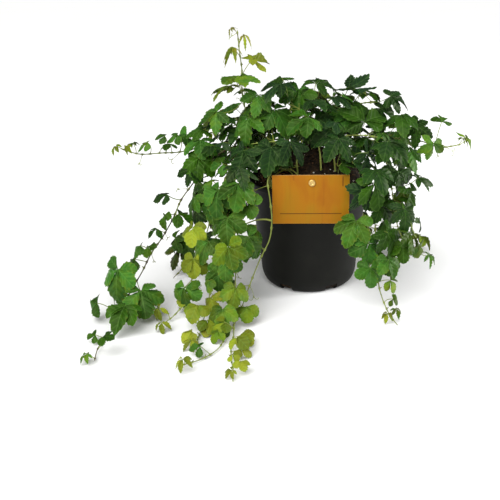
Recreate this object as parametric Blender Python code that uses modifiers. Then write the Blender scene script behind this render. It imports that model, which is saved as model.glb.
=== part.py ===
"""A miniature grape ivy growing in a black nursery pot, with a wood-look card hung at the rim.

Sizes are in millimetres, and MM turns them into metres. +Z is up and the front faces -Y.
The origin is the centre of the pot's flat base.
"""

import math
import random

import bmesh
import bpy
from mathutils import Vector
from mathutils.bvhtree import BVHTree

MM = 0.001
GAP = 0.3
UP = Vector((0, 0, 1))

# The pot: a straight taper over an elliptical shoulder, down to a flat base.
POT_SIDES = 24
POT_HEIGHT = 127.7
POT_RIM_RADIUS = 70.0
POT_WALL = 1.6
LIP_HEIGHT = 5.0
LIP_PROUD = 1.0
SHOULDER_RADIUS = 57.4
SHOULDER_HEIGHT = 21.3
BASE_RADIUS = 46.8
FLOOR_THICK = 2.0
ARC_STEPS = 3
SLOTS = 6
FIRST_SLOT_TURN = 30.0
SLOT_WIDTH = 15.0
SLOT_HEIGHT = 9.0
SLOT_INSIDE = 43.0
SLOT_BELOW = 1.0
SLOT_BEYOND = 4.0

# The soil: a mound, because the root ball stands proud of the rim.
SOIL_EDGE_HEIGHT = 121.5
SOIL_RISE = 42.0
SOIL_SHAPE = 2.4
SOIL_RINGS = (0.86, 0.64, 0.34)
ROOT_DEPTH = 9.0
HOLE_ROOM = 0.45
HOLE_SIDES = 5
HOLE_ABOVE = 12.0

# The card, its hole, and the leaning stake that its stud belongs to.
CARD_WIDTH = 84.0
CARD_HEIGHT = 55.5
CARD_THICK = 0.8
CARD_MIDDLE_X = 2.4
CARD_TOP = 148.6
STUD_X = 3.8
STUD_HEIGHT = 139.8
STUD_RADIUS = 1.5
STUD_HEAD_RADIUS = 3.8
STUD_HEAD_THICK = 1.4
STUD_SIDES = 20
STAKE_WIDTH = 9.0
STAKE_THICK = 1.2
STAKE_FOOT = (-57.0, 96.0)
STAKE_TOP = (-67.2, 146.0)

# The stems: radius at the soil and at the tip, and how far apart the points along them are.
STEM_RADIUS = 1.25
TIP_RADIUS = 0.75
STEM_STEP = 23.0
STEM_LOWEST = 1.7
STEM_SWAY = 1.2
STRAIGHT_ABOVE = 3.0
CURVE_PARTS = 12

# The leaves: for each leaflet its direction in degrees from the middle one, and its share of the reach.
FIVE_LEAFLETS = ((-112, 0.64), (-55, 0.88), (0, 1.0), (55, 0.88), (112, 0.64))
THREE_LEAFLETS = ((-74, 0.86), (0, 1.0), (74, 0.86))
# Points of one leaflet's edge, as shares of its length along and across its rib: a toothed one of a
# leaf that shows close up, a plain one, and the small blunt ones by the stalk.
TOOTHED_EDGE = ((0.6, 0.3), (0.87, 0.23), (1.0, 0.0), (0.87, -0.23), (0.6, -0.3))
PLAIN_EDGE = ((0.7, 0.33), (1.0, 0.0), (0.7, -0.33))
BLUNT_EDGE = ((0.84, 0.3), (0.94, -0.22))
BLUNT_BELOW = 0.7
THREE_WIDER = 1.2
CUT_SHARE = 0.2
HEEL_SHARE = 0.1
TOOTHED_FROM_REACH = 31.0
FIVE_FROM_REACH = 23.0
STALK_STEPS = 2
BENT_FROM_REACH = 24.0
BLADE_THICK = 0.7
STALK_SHARE = 0.62
CLEAR = 0.4
FLOOR_CLEAR = 0.4
TRIES = 40
EASE_ASIDE = 8.0
EASE_FORWARD = 24.0
EASE_TURN = 28.0
TURN_LUCK = 20.0
STEEPEST = 88.0

# A blade's tips droop by so much of its reach, and its leaflets fold by so much: the middle value and
# how far luck moves it. The stalk comes up from below and behind the blade.
ARCH, ARCH_LUCK = 0.33, 0.12
FOLD, FOLD_LUCK = 0.22, 0.08
KNEE_BELOW, KNEE_BEHIND = 0.45, 0.3
STALK_PER_REACH = 0.95
# A stalk may start at each quarter step along its stem, and each step towards the tip costs so much.
FOOT_STEPS, FOOT_BIAS = 4, 0.02
# How a leaf that grows by the rule leans: to its own side, to the light, along its stem, and by luck.
LEAN_ASIDE, LEAN_LIGHT, LEAN_ALONG = 0.8, 0.8, 0.35
LEAN_LUCK, LEAN_EASE = 0.35, 0.5
REACH_LUCK, STALK_LUCK, SHRINK_EASE = 0.1, 0.25, 0.3
# The light's pull, the blade's facing and its middle leaflet's way, each as the value beside the soil
# and what is added to it where the stem hangs. It hangs by this height, fully so that much lower.
LIGHT_UP, LIGHT_OUT = (1.1, -0.6), (0.3, 0.6)
FACE_UP, FACE_OUT, FACE_LUCK = (1.0, -0.45), (0.35, 0.5), 0.6
POINT_OUT, POINT_DOWN = 0.4, 0.7
HANGS_FROM, HANGS_OVER = POT_HEIGHT + 30.0, 60.0
STEEP_STEM = 0.75
# On the level surface a leaf's centre stays so high, and so much of its reach higher.
LYING_BELOW = 30.0
LYING_HEIGHT, LYING_PER_REACH = 5.0, 0.25
FILL_NEAREST, SPACING_LUCK = 0.45, 0.15
# The seeds: one for each stem's line, its leaves placed by hand and its leaves placed by the rule.
LINE_SEED, PLACED_SEED, FILL_SEED = 100, 200, 300

# Each stem: where it leaves the soil, the points that it passes, and the leaves that fill it by rule.
# fill = first leaf, spacing, reach near the soil, reach near the tip, stalk near the soil, stalk near
# the tip. leaves = places chosen by hand: x, y, z of the blade's centre, its reach, the side that it
# faces (0 is the front, 90 the right), how far up it faces, where its middle leaflet points (0 is
# downhill, 90 is to its own right), all in degrees, and how far it droops where that is unusual.
STEMS = {
    "stem_tall": {
        "root": (-30, 4),
        "route": (
            (-38, 2, 168), (-56, -1, 178), (-69, -3, 196), (-74, -6, 222),
            (-75, -8, 250), (-77, -8, 276), (-78, -8, 297),
        ),
        "leaves": (
            (-84, -9, 301, 9, -60, 50, -40, 0.8),
            (-71, -10, 291, 11, 40, 72, 30, 0.9),
            (-82, -14, 278, 15, -25, 70, -30, 0.9),
            (-62, -12, 264, 24, 40, 84, 60, 0.1),
            (-76, -24, 249, 29, 5, 86, 20, 0.12),
            (-88, -20, 237, 26, -50, 62, -30),
            (-56, -26, 228, 27, 15, 62, -20),
            (-102, -28, 210, 29, -40, 64, -30),
            (-66, -34, 204, 28, -10, 62, 10),
        ),
        "fill": (30, 30, 28, 18, 24, 14),
    },
    "shoot_left": {
        "root": (-44, 10),
        "route": (
            (-50, 9, 160), (-72, 2, 172), (-98, -8, 171), (-124, -18, 167),
            (-150, -25, 165), (-180, -30, 164), (-205, -33, 165), (-213, -34, 171),
        ),
        "leaves": (
            (-204, -36, 173, 9, -60, 60, 0),
            (-181, -34, 177, 14, -30, 62, -60),
            (-163, -26, 183, 12, 10, 70, -90),
            (-148, -26, 184, 14, -20, 60, -30),
            (-138, -22, 186, 15, -10, 55, -50),
            (-120, -24, 194, 22, -20, 66, -60),
            (-96, -18, 204, 26, -25, 60, -35),
            (-121, -35, 180, 26, 0, 70, 0),
        ),
        "fill": (26, 28, 30, 16, 26, 14),
    },
    "trail_far_left": {
        "root": (-46, -10),
        "route": (
            (-52, -12, 158), (-70, -20, 169), (-92, -32, 169), (-112, -43, 157),
            (-134, -55, 130), (-147, -62, 108), (-163, -72, 80), (-178, -82, 58),
            (-192, -92, 36), (-204, -104, 14), (-212, -122, 3), (-208, -157, 3),
            (-215, -190, 3), (-211, -222, 3),
        ),
        "leaves": (
            (-120, -52, 165, 25, 0, 40, 0),
            (-138, -66, 156, 20, -20, 40, -10),
            (-158, -66, 126, 17, -30, 75, -20),
            (-144, -76, 106, 18, 20, 70, 40),
            (-168, -84, 92, 13, -20, 60, -60),
            (-186, -90, 74, 14, -50, 35, 0),
            (-209, -108, 53, 32, -20, 34, -20),
            (-183, -120, 33, 30, 10, 42, 20),
            (-230, -130, 22, 17, -40, 60, -30),
            (-192, -146, 15, 27, 10, 66, -30),
        ),
        "fill": (22, 40, 28, 15, 24, 16),
    },
    "trail_left_outer": {
        "root": (-38, -26),
        "route": (
            (-44, -30, 156), (-60, -43, 163), (-78, -56, 160), (-93, -67, 143),
            (-103, -77, 117), (-112, -87, 84), (-122, -96, 56), (-131, -105, 32),
            (-140, -116, 12), (-150, -130, 4), (-160, -146, 3),
        ),
        "leaves": (
            (-96, -90, 138, 26, -20, 38, 0),
            (-105, -88, 122, 23, -30, 35, 0),
            (-128, -92, 96, 22, -40, 40, -10),
            (-124, -110, 66, 21, -10, 35, 20),
            (-134, -122, 38, 23, -10, 40, 0),
            (-143, -118, 36, 18, -40, 45, -20),
            (-162, -128, 16, 14, -30, 60, -10),
        ),
        "fill": (20, 30, 30, 16, 26, 14),
    },
    "trail_left_front": {
        "root": (-30, -38),
        "route": (
            (-36, -44, 154), (-51, -57, 158), (-65, -71, 146), (-73, -84, 120),
            (-76, -95, 92), (-78, -108, 65), (-79, -124, 41), (-78, -142, 19),
            (-78, -164, 5), (-77, -200, 3), (-73, -235, 3), (-70, -262, 3),
        ),
        "leaves": (
            (-76, -96, 141, 27, -5, 32, 0),
            (-86, -106, 112, 28, -10, 30, 10),
            (-64, -110, 92, 27, 15, 35, 20),
            (-88, -124, 72, 24, -10, 38, -10),
            (-84, -128, 87, 26, 0, 40, 0),
            (-77, -87, 158, 25, -5, 55, 0),
            (-63, -110, 77, 24, 0, 25, 0),
            (-76, -134, 44, 22, 10, 42, 0),
            (-90, -152, 26, 21, -15, 52, -10),
            (-74, -222, 11, 9, 0, 60, 60),
            (-72, -250, 10, 9, 0, 60, -30),
        ),
        "fill": (20, 30, 30, 10, 26, 11),
    },
    "trail_left_inner": {
        "root": (-41, -39),
        "route": (
            (-48, -45, 149), (-66, -57, 156), (-84, -69, 138), (-91, -80, 110),
            (-96, -92, 80), (-101, -104, 54), (-107, -118, 30), (-112, -134, 10),
            (-115, -152, 3), (-115, -178, 3), (-112, -200, 3),
        ),
        "leaves": (
            (-84, -98, 124, 26, -10, 32, 0),
            (-108, -104, 84, 23, -25, 35, -15),
            (-96, -122, 58, 22, 0, 40, 15),
            (-118, -142, 26, 18, -20, 50, -20),
            (-104, -158, 18, 17, 10, 58, 30),
            (-109, -65, 132, 24, 0, 25, -35),
            (-118, -190, 10, 13, -10, 60, -20),
        ),
        "fill": (20, 30, 30, 12, 26, 12),
    },
    "trail_beside_card": {
        "root": (-19, -47),
        "route": (
            (-28, -54, 151), (-42, -65, 154), (-45, -77, 142), (-42, -83, 122),
            (-41, -86, 102), (-42, -90, 84), (-51, -96, 65), (-59, -106, 48),
            (-69, -120, 24), (-77, -142, 6), (-84, -166, 3), (-92, -196, 3),
            (-106, -217, 3), (-122, -229, 3),
        ),
        "leaves": (
            (-66, -94, 80, 21, -30, 35, -20),
            (-66, -136, 22, 17, 20, 42, 10),
            (-92, -176, 12, 12, -20, 60, -30),
        ),
        "fill": (170, 50, 20, 12, 18, 10),
    },
    "trail_behind_left": {
        "root": (-48, 24),
        "route": (
            (-57, 28, 152), (-80, 31, 159), (-103, 28, 142), (-120, 24, 113),
            (-133, 19, 84), (-142, 14, 57), (-148, 6, 32), (-156, -6, 10), (-166, -18, 4),
        ),
        "leaves": (
            (-136, 2, 84, 22, -30, 30, 0),
            (-147, -12, 53, 28, -20, 35, 10),
            (-128, -4, 56, 22, 0, 30, 10),
            (-158, 0, 37, 27, 0, 25, -35),
            (-161, -8, 52, 22, -45, 40, 0),
        ),
        "fill": (20, 42, 31, 24, 26, 18),
    },
    "trail_right_front": {
        "root": (34, -36),
        "route": (
            (40, -42, 154), (51, -54, 157), (62, -67, 141), (69, -77, 112),
            (72, -84, 84), (72, -92, 58), (76, -102, 36), (82, -112, 17),
            (88, -124, 5), (94, -140, 3),
        ),
        "leaves": (
            (70, -86, 143, 30, 20, 40, 0),
            (82, -90, 122, 28, 30, 30, 10),
            (50, -92, 102, 30, 5, 48, -20),
            (84, -98, 92, 27, 25, 40, 10),
            (64, -104, 82, 25, 10, 35, 0),
            (66, -110, 56, 22, -5, 42, -20),
            (71, -80, 154, 27, 25, 55, -35),
            (63, -66, 171, 29, 25, 25, 35),
            (85, -87, 60, 22, 0, 40, 0),
            (84, -112, 60, 20, 30, 40, 20),
            (90, -120, 24, 9, 30, 50, 60),
            (84, -130, 12, 9, 0, 60, 0),
            (94, -130, 14, 9, 25, 55, 0),
            (69, -86, 134, 26, 25, 25, -35),
        ),
        "fill": (20, 32, 31, 10, 26, 12),
    },
    "trail_right": {
        "root": (46, -16),
        "route": (
            (53, -20, 157), (71, -30, 162), (90, -41, 151), (103, -49, 127),
            (111, -54, 100), (118, -58, 76), (126, -60, 58),
        ),
        "leaves": (
            (96, -62, 150, 29, 40, 38, 10),
            (112, -64, 128, 28, 45, 32, 0),
            (116, -52, 132, 21, 10, 84, 80),
            (100, -80, 108, 24, 20, 30, 0),
            (109, -88, 89, 24, 45, 55, 0),
            (122, -72, 68, 16, 40, 35, 20),
            (134, -62, 52, 14, 50, 55, 40),
            (104, -90, 76, 20, 10, 35, -10),
        ),
        "fill": (20, 26, 31, 16, 26, 14),
    },
    "shoot_right": {
        "root": (44, 6),
        "route": (
            (51, 6, 162), (68, 3, 173), (88, -3, 174), (109, -9, 173),
            (131, -14, 170), (152, -17, 164), (170, -18, 168),
        ),
        "leaves": (
            (138, -28, 172, 21, 20, 20, 10),
            (147, -20, 194, 16, 10, 40, 170),
            (176, -20, 174, 17, 40, 40, 90),
            (118, -20, 190, 24, 20, 56, 60),
            (102, -20, 200, 26, 10, 64, -10),
            (112, -26, 166, 28, 30, 40, 10),
        ),
        "fill": (24, 30, 30, 16, 28, 14),
    },
    "canopy_right": {
        "root": (30, 10),
        "route": (
            (33, 9, 176), (38, 5, 192), (46, 0, 205), (58, -5, 213), (74, -8, 216),
        ),
        "leaves": (
            (45, -8, 231, 36, -30, 74, 70, -0.45),
            (80, -8, 208, 28, 30, 68, 50),
            (92, -2, 220, 24, 10, 72, 90),
            (62, -38, 200, 36, 8, 32, 170),
            (30, -22, 222, 25, -10, 70, 120),
            (60, 12, 222, 27, 120, 65, 0),
            (10, -6, 235, 27, 0, 62, 120),
        ),
        "fill": (20, 16, 30, 25, 34, 26),
    },
    "canopy_middle": {
        "root": (4, -6),
        "route": (
            (3, -8, 182), (-2, -10, 198), (-11, -12, 209), (-24, -13, 216),
        ),
        "leaves": (
            (-32, -16, 234, 27, -20, 70, -60),
            (4, -26, 222, 28, 0, 70, 100),
            (0, -46, 206, 29, 5, 66, -60),
            (-12, 2, 232, 28, 10, 58, 0),
            (6, -18, 198, 29, 0, 40, 35),
        ),
        "fill": (18, 14, 30, 25, 34, 26),
    },
    "canopy_front_right": {
        "root": (20, -20),
        "route": (
            (24, -26, 170), (34, -34, 180), (48, -40, 185), (64, -44, 186), (82, -44, 182),
        ),
        "leaves": (
            (32, -60, 186, 29, 10, 58, -30),
            (84, -62, 182, 29, 25, 58, 20),
            (36, -66, 160, 17, 0, 50, 80),
            (24, -42, 192, 29, -25, 40, -35),
        ),
        "fill": (20, 26, 30, 26, 30, 26),
    },
    "canopy_front_left": {
        "root": (-14, -22),
        "route": (
            (-18, -28, 168), (-29, -37, 178), (-45, -44, 180), (-63, -48, 178),
        ),
        "leaves": (
            (-40, -66, 178, 30, -5, 42, 0),
            (-74, -66, 176, 31, -20, 54, -10),
            (-20, -62, 184, 26, 5, 62, 30),
            (-36, -15, 205, 28, 0, 64, 0),
        ),
        "fill": (20, 26, 30, 26, 30, 26),
    },
    "canopy_left_back": {
        "root": (-22, 26),
        "route": (
            (-26, 31, 170), (-42, 39, 184), (-66, 44, 187), (-92, 43, 179), (-114, 38, 166),
        ),
        "leaves": (),
        "fill": (20, 20, 32, 25, 32, 24),
    },
    "canopy_back": {
        "root": (6, 24),
        "route": (
            (8, 28, 178), (13, 36, 194), (20, 43, 205), (30, 50, 211),
        ),
        "leaves": (
            (12, 26, 222, 28, 150, 78, 20),
            (34, 30, 220, 27, 60, 74, -20),
        ),
        "fill": (18, 12, 32, 26, 36, 26),
    },
    "trail_back_left": {
        "root": (-12, 44),
        "route": (
            (-16, 51, 158), (-24, 65, 160), (-31, 82, 142), (-35, 93, 113),
            (-38, 101, 83), (-42, 111, 51), (-48, 125, 21), (-57, 143, 4), (-66, 170, 3),
        ),
        "leaves": (),
        "fill": (20, 38, 32, 20, 28, 18),
    },
    "trail_back_right": {
        "root": (26, 38),
        "route": (
            (31, 45, 158), (41, 58, 159), (50, 73, 141), (57, 83, 112),
            (63, 92, 81), (71, 102, 49), (81, 115, 20), (94, 131, 4), (112, 148, 3),
        ),
        "leaves": (),
        "fill": (20, 38, 32, 20, 28, 18),
    },
    "trail_right_back": {
        "root": (46, 22),
        "route": (
            (54, 28, 154), (72, 42, 161), (88, 57, 146), (99, 68, 117),
            (106, 76, 88), (112, 84, 58), (119, 92, 30), (130, 100, 8), (146, 104, 3),
        ),
        "leaves": (),
        "fill": (20, 38, 32, 20, 28, 18),
    },
}


def direction(azimuth, elevation):
    """A unit vector: azimuth 0 is the front and 90 the right, elevation 90 is straight up."""
    turn, lift = math.radians(azimuth), math.radians(elevation)
    level = Vector((math.sin(turn), -math.cos(turn), 0))
    return level * math.cos(lift) + UP * math.sin(lift)


def ellipse_arc(middle, high, across, down, steps):
    """Points of a quarter ellipse from its side (middle + across) down to its bottom."""
    turns = [math.pi / 2 * step / steps for step in range(steps + 1)]
    return [(middle + across * math.cos(t), high - down * math.sin(t)) for t in turns]


def body_radius(height):
    """The pot's outer radius on its tapered wall, below the lip."""
    top = POT_RIM_RADIUS - LIP_PROUD
    share = (height - SHOULDER_HEIGHT) / (POT_HEIGHT - LIP_HEIGHT - SHOULDER_HEIGHT)
    return SHOULDER_RADIUS + (top - SHOULDER_RADIUS) * share


def inner_arc(inset):
    """The pot's rounded inner corner, or what lies that far inside it, from its side down."""
    floor = SHOULDER_HEIGHT - FLOOR_THICK - inset
    across = SHOULDER_RADIUS - BASE_RADIUS - POT_WALL - inset
    return ellipse_arc(BASE_RADIUS, SHOULDER_HEIGHT, across, floor, ARC_STEPS)


def pot_profile():
    """From the inner floor up the inside, over the lip and down the outside to the base."""
    lip_foot = POT_HEIGHT - LIP_HEIGHT
    inside = [(0, FLOOR_THICK)] + inner_arc(0)[::-1]
    rim = [
        (POT_RIM_RADIUS - LIP_PROUD - POT_WALL, lip_foot),
        (POT_RIM_RADIUS - LIP_PROUD - POT_WALL + 0.4, POT_HEIGHT),
        (POT_RIM_RADIUS, POT_HEIGHT),
        (POT_RIM_RADIUS, lip_foot),
        (POT_RIM_RADIUS - LIP_PROUD, lip_foot - LIP_PROUD),
    ]
    across = SHOULDER_RADIUS - BASE_RADIUS
    outside = ellipse_arc(BASE_RADIUS, SHOULDER_HEIGHT, across, SHOULDER_HEIGHT, ARC_STEPS)
    return inside + rim + outside + [(0, 0)]


def soil_radius():
    return body_radius(SOIL_EDGE_HEIGHT) - POT_WALL - GAP


def soil_height(x, y):
    share = min(1.0, math.hypot(x, y) / soil_radius())
    return SOIL_EDGE_HEIGHT + SOIL_RISE * (1 - share**SOIL_SHAPE)


def soil_profile():
    """From the top of the mound out to its edge and down the inside of the pot."""
    rings = [(share * soil_radius(), soil_height(share * soil_radius(), 0)) for share in SOIL_RINGS]
    top = [(0, soil_height(0, 0))] + rings[::-1]
    edge = [(soil_radius(), SOIL_EDGE_HEIGHT)]
    return top + edge + inner_arc(GAP) + [(0, FLOOR_THICK + GAP)]


def smooth_route(points, step):
    """Points about one step apart along a smooth curve through the given ones, with both ends."""
    ends = [points[0] * 2 - points[1]] + points + [points[-1] * 2 - points[-2]]
    fine = []
    for a, b, c, d in zip(ends, ends[1:], ends[2:], ends[3:]):
        for part in range(CURVE_PARTS):
            t = part / CURVE_PARTS
            bend = (2 * a - 5 * b + 4 * c - d) * t + (3 * b - a - 3 * c + d) * t * t
            fine.append(b + 0.5 * t * ((c - a) + bend))
    fine.append(points[-1])
    lengths = [0.0]
    for a, b in zip(fine, fine[1:]):
        lengths.append(lengths[-1] + (b - a).length)
    count = max(2, round(lengths[-1] / step))
    wanted = [lengths[-1] * index / count for index in range(count + 1)]
    found, at = [], 0
    for length in wanted:
        while at < len(fine) - 2 and lengths[at + 1] < length:
            at += 1
        share = (length - lengths[at]) / (lengths[at + 1] - lengths[at])
        found.append(fine[at].lerp(fine[at + 1], min(1.0, share)))
    return found


def stem_points(stem, draw):
    """The stem's own line: straight up out of its hole, then swaying a little about its route."""
    x, y = stem["root"]
    ground = soil_height(x, y)
    start = [Vector((x, y, ground - ROOT_DEPTH)), Vector((x, y, ground + STRAIGHT_ABOVE))]
    route = smooth_route(start[1:] + [Vector(point) for point in stem["route"]], STEM_STEP)
    line = [start[0], route[0]]
    for point in route[1:-1]:
        sway = Vector([draw.uniform(-STEM_SWAY, STEM_SWAY) for _ in range(3)])
        line.append(point + sway)
        line[-1].z = max(line[-1].z, STEM_LOWEST)
    return line + [route[-1]]


def stem_radius(share):
    return STEM_RADIUS + (TIP_RADIUS - STEM_RADIUS) * share


class Leaf:
    """A palmate blade on its stalk, with its place, its facing and its shape."""

    def __init__(self, foot, centre, normal, forward, reach, thick, arch, fold):
        self.foot, self.centre, self.reach, self.toothed = foot, centre, reach, False
        self.normal = normal.normalized()
        self.forward = (forward - self.normal * forward.dot(self.normal)).normalized()
        self.across = self.normal.cross(self.forward)
        self.thick, self.arch, self.fold = thick, arch, fold
        self.leaflets = FIVE_LEAFLETS if reach >= FIVE_FROM_REACH else THREE_LEAFLETS

    def point(self, turn, length, along, aside, lift=0.0):
        """A point of the leaflet that turns so far: shares along and across its rib, and a lift."""
        angle = math.radians(turn)
        rib = self.forward * math.cos(angle) + self.across * math.sin(angle)
        side = self.across * math.cos(angle) - self.forward * math.sin(angle)
        size = self.reach * length
        height = -self.arch * self.reach * (along * length) ** 2 + self.fold * abs(aside) * size
        return self.centre + rib * along * size + side * aside * size + self.normal * (height + lift)

    def edge(self):
        """The blade's outline once round, as the arguments that point takes."""
        wide = THREE_WIDER if self.leaflets is THREE_LEAFLETS else 1.0
        found = [(180, 1.0, HEEL_SHARE, 0.0)]
        for place, (turn, length) in enumerate(self.leaflets):
            if place:
                found.append(((turn + self.leaflets[place - 1][0]) / 2, 1.0, CUT_SHARE, 0.0))
            shape = TOOTHED_EDGE if self.toothed else PLAIN_EDGE
            for along, aside in BLUNT_EDGE if length < BLUNT_BELOW else shape:
                found.append((turn, length, along, -aside * wide))
        return found

    def stalk(self):
        """Points of the stalk, which leaves the stem and comes up under the blade."""
        steps = STALK_STEPS if self.reach >= BENT_FROM_REACH else 1
        span = (self.centre - self.foot).length
        knee = self.centre - (self.normal * KNEE_BELOW + self.forward * KNEE_BEHIND) * span
        found = []
        for step in range(steps + 1):
            t = step / steps
            found.append(self.foot * (1 - t) ** 2 + knee * 2 * t * (1 - t) + self.centre * t * t)
        return found


def leaf_shape(leaf, grow=0.0):
    """The leaf's points and faces: a fan above, one below that opens into the stalk, and the edge.

    With grow the blade and the stalk are that much larger all round, to test for room.
    """
    edge = leaf.edge()
    count = len(edge)
    half = BLADE_THICK / 2 + grow
    widen = 1 + grow / leaf.reach
    points = []
    for lift in (half, -half):
        for turn, length, along, aside in edge:
            points.append(leaf.point(turn, length * widen, along, aside, lift))
    points.append(leaf.centre + leaf.normal * half)
    top = 2 * count
    faces = []
    for index in range(count):
        after = (index + 1) % count
        faces.append((top, index, after))
        faces.append((index, count + index, count + after, after))
    line = leaf.stalk()
    rings = []
    for place, point in enumerate(line):
        last = place == len(line) - 1
        along = leaf.normal if last else (line[place + 1] - point).normalized()
        first = leaf.forward - along * leaf.forward.dot(along)
        first = first.normalized() if first.length > 0.1 else leaf.across
        second = along.cross(first)
        middle = point - leaf.normal * half if last else point
        rings.append(len(points))
        for third in range(3):
            turn = math.radians(120 * third)
            spoke = first * math.cos(turn) + second * math.sin(turn)
            points.append(middle + spoke * (leaf.thick + grow))
    for ring, following in zip(rings, rings[1:]):
        for third in range(3):
            beside = (third + 1) % 3
            faces.append((ring + third, ring + beside, following + beside, following + third))
    faces.append((rings[0] + 2, rings[0] + 1, rings[0]))
    faces.extend(underside(edge, count, rings[-1]))
    return points, faces


def underside(edge, count, ring):
    """Triangles between the lower edge and the stalk's three corners, at 0, 120 and 240 degrees."""
    turns = []
    for turn, length, along, aside in edge:
        turns.append((turn + math.degrees(math.atan2(aside, along))) % 360)
    corners = [min(range(3), key=lambda c: abs((turn - 120 * c + 180) % 360 - 180)) for turn in turns]
    faces = []
    for index in range(count):
        after = (index + 1) % count
        here, there = corners[index], corners[after]
        faces.append((count + after, count + index, ring + here))
        if here != there:
            faces.append((count + after, ring + here, ring + there))
    return faces


def tree_of(points, faces):
    return BVHTree.FromPolygons([tuple(point) for point in points], faces)


def tube_shape(line, radii):
    """A four-sided tube round a line, as points and faces, to test for room."""
    points, faces = [], []
    for place, point in enumerate(line):
        before, after = line[max(0, place - 1)], line[min(len(line) - 1, place + 1)]
        along = (after - before).normalized()
        first = along.orthogonal().normalized()
        second = along.cross(first)
        for spoke in (first, second, -first, -second):
            points.append(point + spoke * radii[place])
    for ring in range(0, 4 * (len(line) - 1), 4):
        for side in range(4):
            beside = (side + 1) % 4
            faces.append((ring + side, ring + beside, ring + 4 + beside, ring + 4 + side))
    return points, faces


def turned_shape(profile, sides):
    """A profile turned about the pot's axis, as points and faces, to test for room."""
    points, faces = [], []
    for radius, height in profile:
        for side in range(sides):
            turn = math.tau * side / sides
            points.append(Vector((radius * math.cos(turn), radius * math.sin(turn), height)))
    for ring in range(len(profile) - 1):
        for side in range(sides):
            a, b = ring * sides + side, ring * sides + (side + 1) % sides
            faces.append((a, b, b + sides, a + sides))
    return points, faces


def card_corners():
    """The lowest and highest corners of the room that the card, its stud and stake fill."""
    front = -POT_RIM_RADIUS - GAP - CARD_THICK - STUD_HEAD_THICK - GAP
    low = Vector((CARD_MIDDLE_X - CARD_WIDTH / 2, front, CARD_TOP - CARD_HEIGHT))
    return low, Vector((CARD_MIDDLE_X + CARD_WIDTH / 2, STAKE_FOOT[0], CARD_TOP))


def box_shape(low, high):
    points = [Vector((x, y, z)) for x in (low.x, high.x) for y in (low.y, high.y) for z in (low.z, high.z)]
    faces = [(0, 1, 3, 2), (4, 6, 7, 5), (0, 4, 5, 1), (2, 3, 7, 6), (0, 2, 6, 4), (1, 5, 7, 3)]
    return points, faces


class Room:
    """What already stands where, so that a new leaf can be kept clear of it."""

    def __init__(self):
        self.taken = []

    def add(self, shape, owner=None):
        points, faces = shape
        low = Vector([min(point[axis] for point in points) for axis in range(3)])
        high = Vector([max(point[axis] for point in points) for axis in range(3)])
        self.taken.append((low, high, tree_of(points, faces), owner))

    def is_free(self, leaf, owner):
        points, faces = leaf_shape(leaf, CLEAR)
        low = Vector([min(point[axis] for point in points) for axis in range(3)])
        high = Vector([max(point[axis] for point in points) for axis in range(3)])
        if low.z < FLOOR_CLEAR:
            return False
        whole, blade = tree_of(points, faces), None
        for its_low, its_high, tree, its_owner in self.taken:
            if any(low[axis] > its_high[axis] or high[axis] < its_low[axis] for axis in range(3)):
                continue
            if its_owner == owner:
                # The stalk grows out of its own stem, so only the blade is tested there.
                if blade is None:
                    kept = 2 * len(leaf.edge()) + 1
                    blade = tree_of(points[:kept], [face for face in faces if max(face) < kept])
                if blade.overlap(tree):
                    return False
            elif whole.overlap(tree):
                return False
        return True


def leaf_at_place(place, line, draw, attempt):
    """A leaf whose place was chosen by hand, eased a little further each time it doesn't fit."""
    x, y, z, reach, side, lift, points, *droop = place
    ease = attempt / TRIES
    shake = [draw.uniform(-1, 1) for _ in range(7)]
    loose = TURN_LUCK + (EASE_TURN - TURN_LUCK) * ease
    side += shake[3] * loose
    lift = min(STEEPEST, lift + shake[4] * loose)
    normal, downhill = direction(side, lift), direction(side, lift - 90)
    aside = Vector(shake[:3]) * EASE_ASIDE + normal * shake[6] * EASE_FORWARD
    centre = Vector((x, y, z)) + aside * ease
    turn = math.radians(points + shake[5] * loose)
    forward = downhill * math.cos(turn) + normal.cross(downhill) * math.sin(turn)
    # The stalk starts where its length comes out right, and nearer the soil if two places would do.
    stalk = reach * STALK_PER_REACH
    foot_at = min(
        range(2, len(line) * FOOT_STEPS - FOOT_STEPS - 1),
        key=lambda at: abs((line_point(line, at / FOOT_STEPS) - centre).length - stalk) + FOOT_BIAS * at,
    )
    share = foot_at / FOOT_STEPS / (len(line) - 1)
    foot = line_point(line, foot_at / FOOT_STEPS)
    leaf = make_leaf(foot, centre, normal, forward, reach, share, shake[6])
    leaf.toothed = reach >= TOOTHED_FROM_REACH
    if droop:
        leaf.arch = droop[0]
    return leaf


def line_point(line, at):
    index = min(len(line) - 2, int(at))
    return line[index].lerp(line[index + 1], at - index)


def make_leaf(foot, centre, normal, forward, reach, share, luck):
    thick = stem_radius(share) * STALK_SHARE
    arch, fold = ARCH + ARCH_LUCK * luck, FOLD + FOLD_LUCK * luck
    return Leaf(foot, centre, normal, forward, reach, thick, arch, fold)


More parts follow.
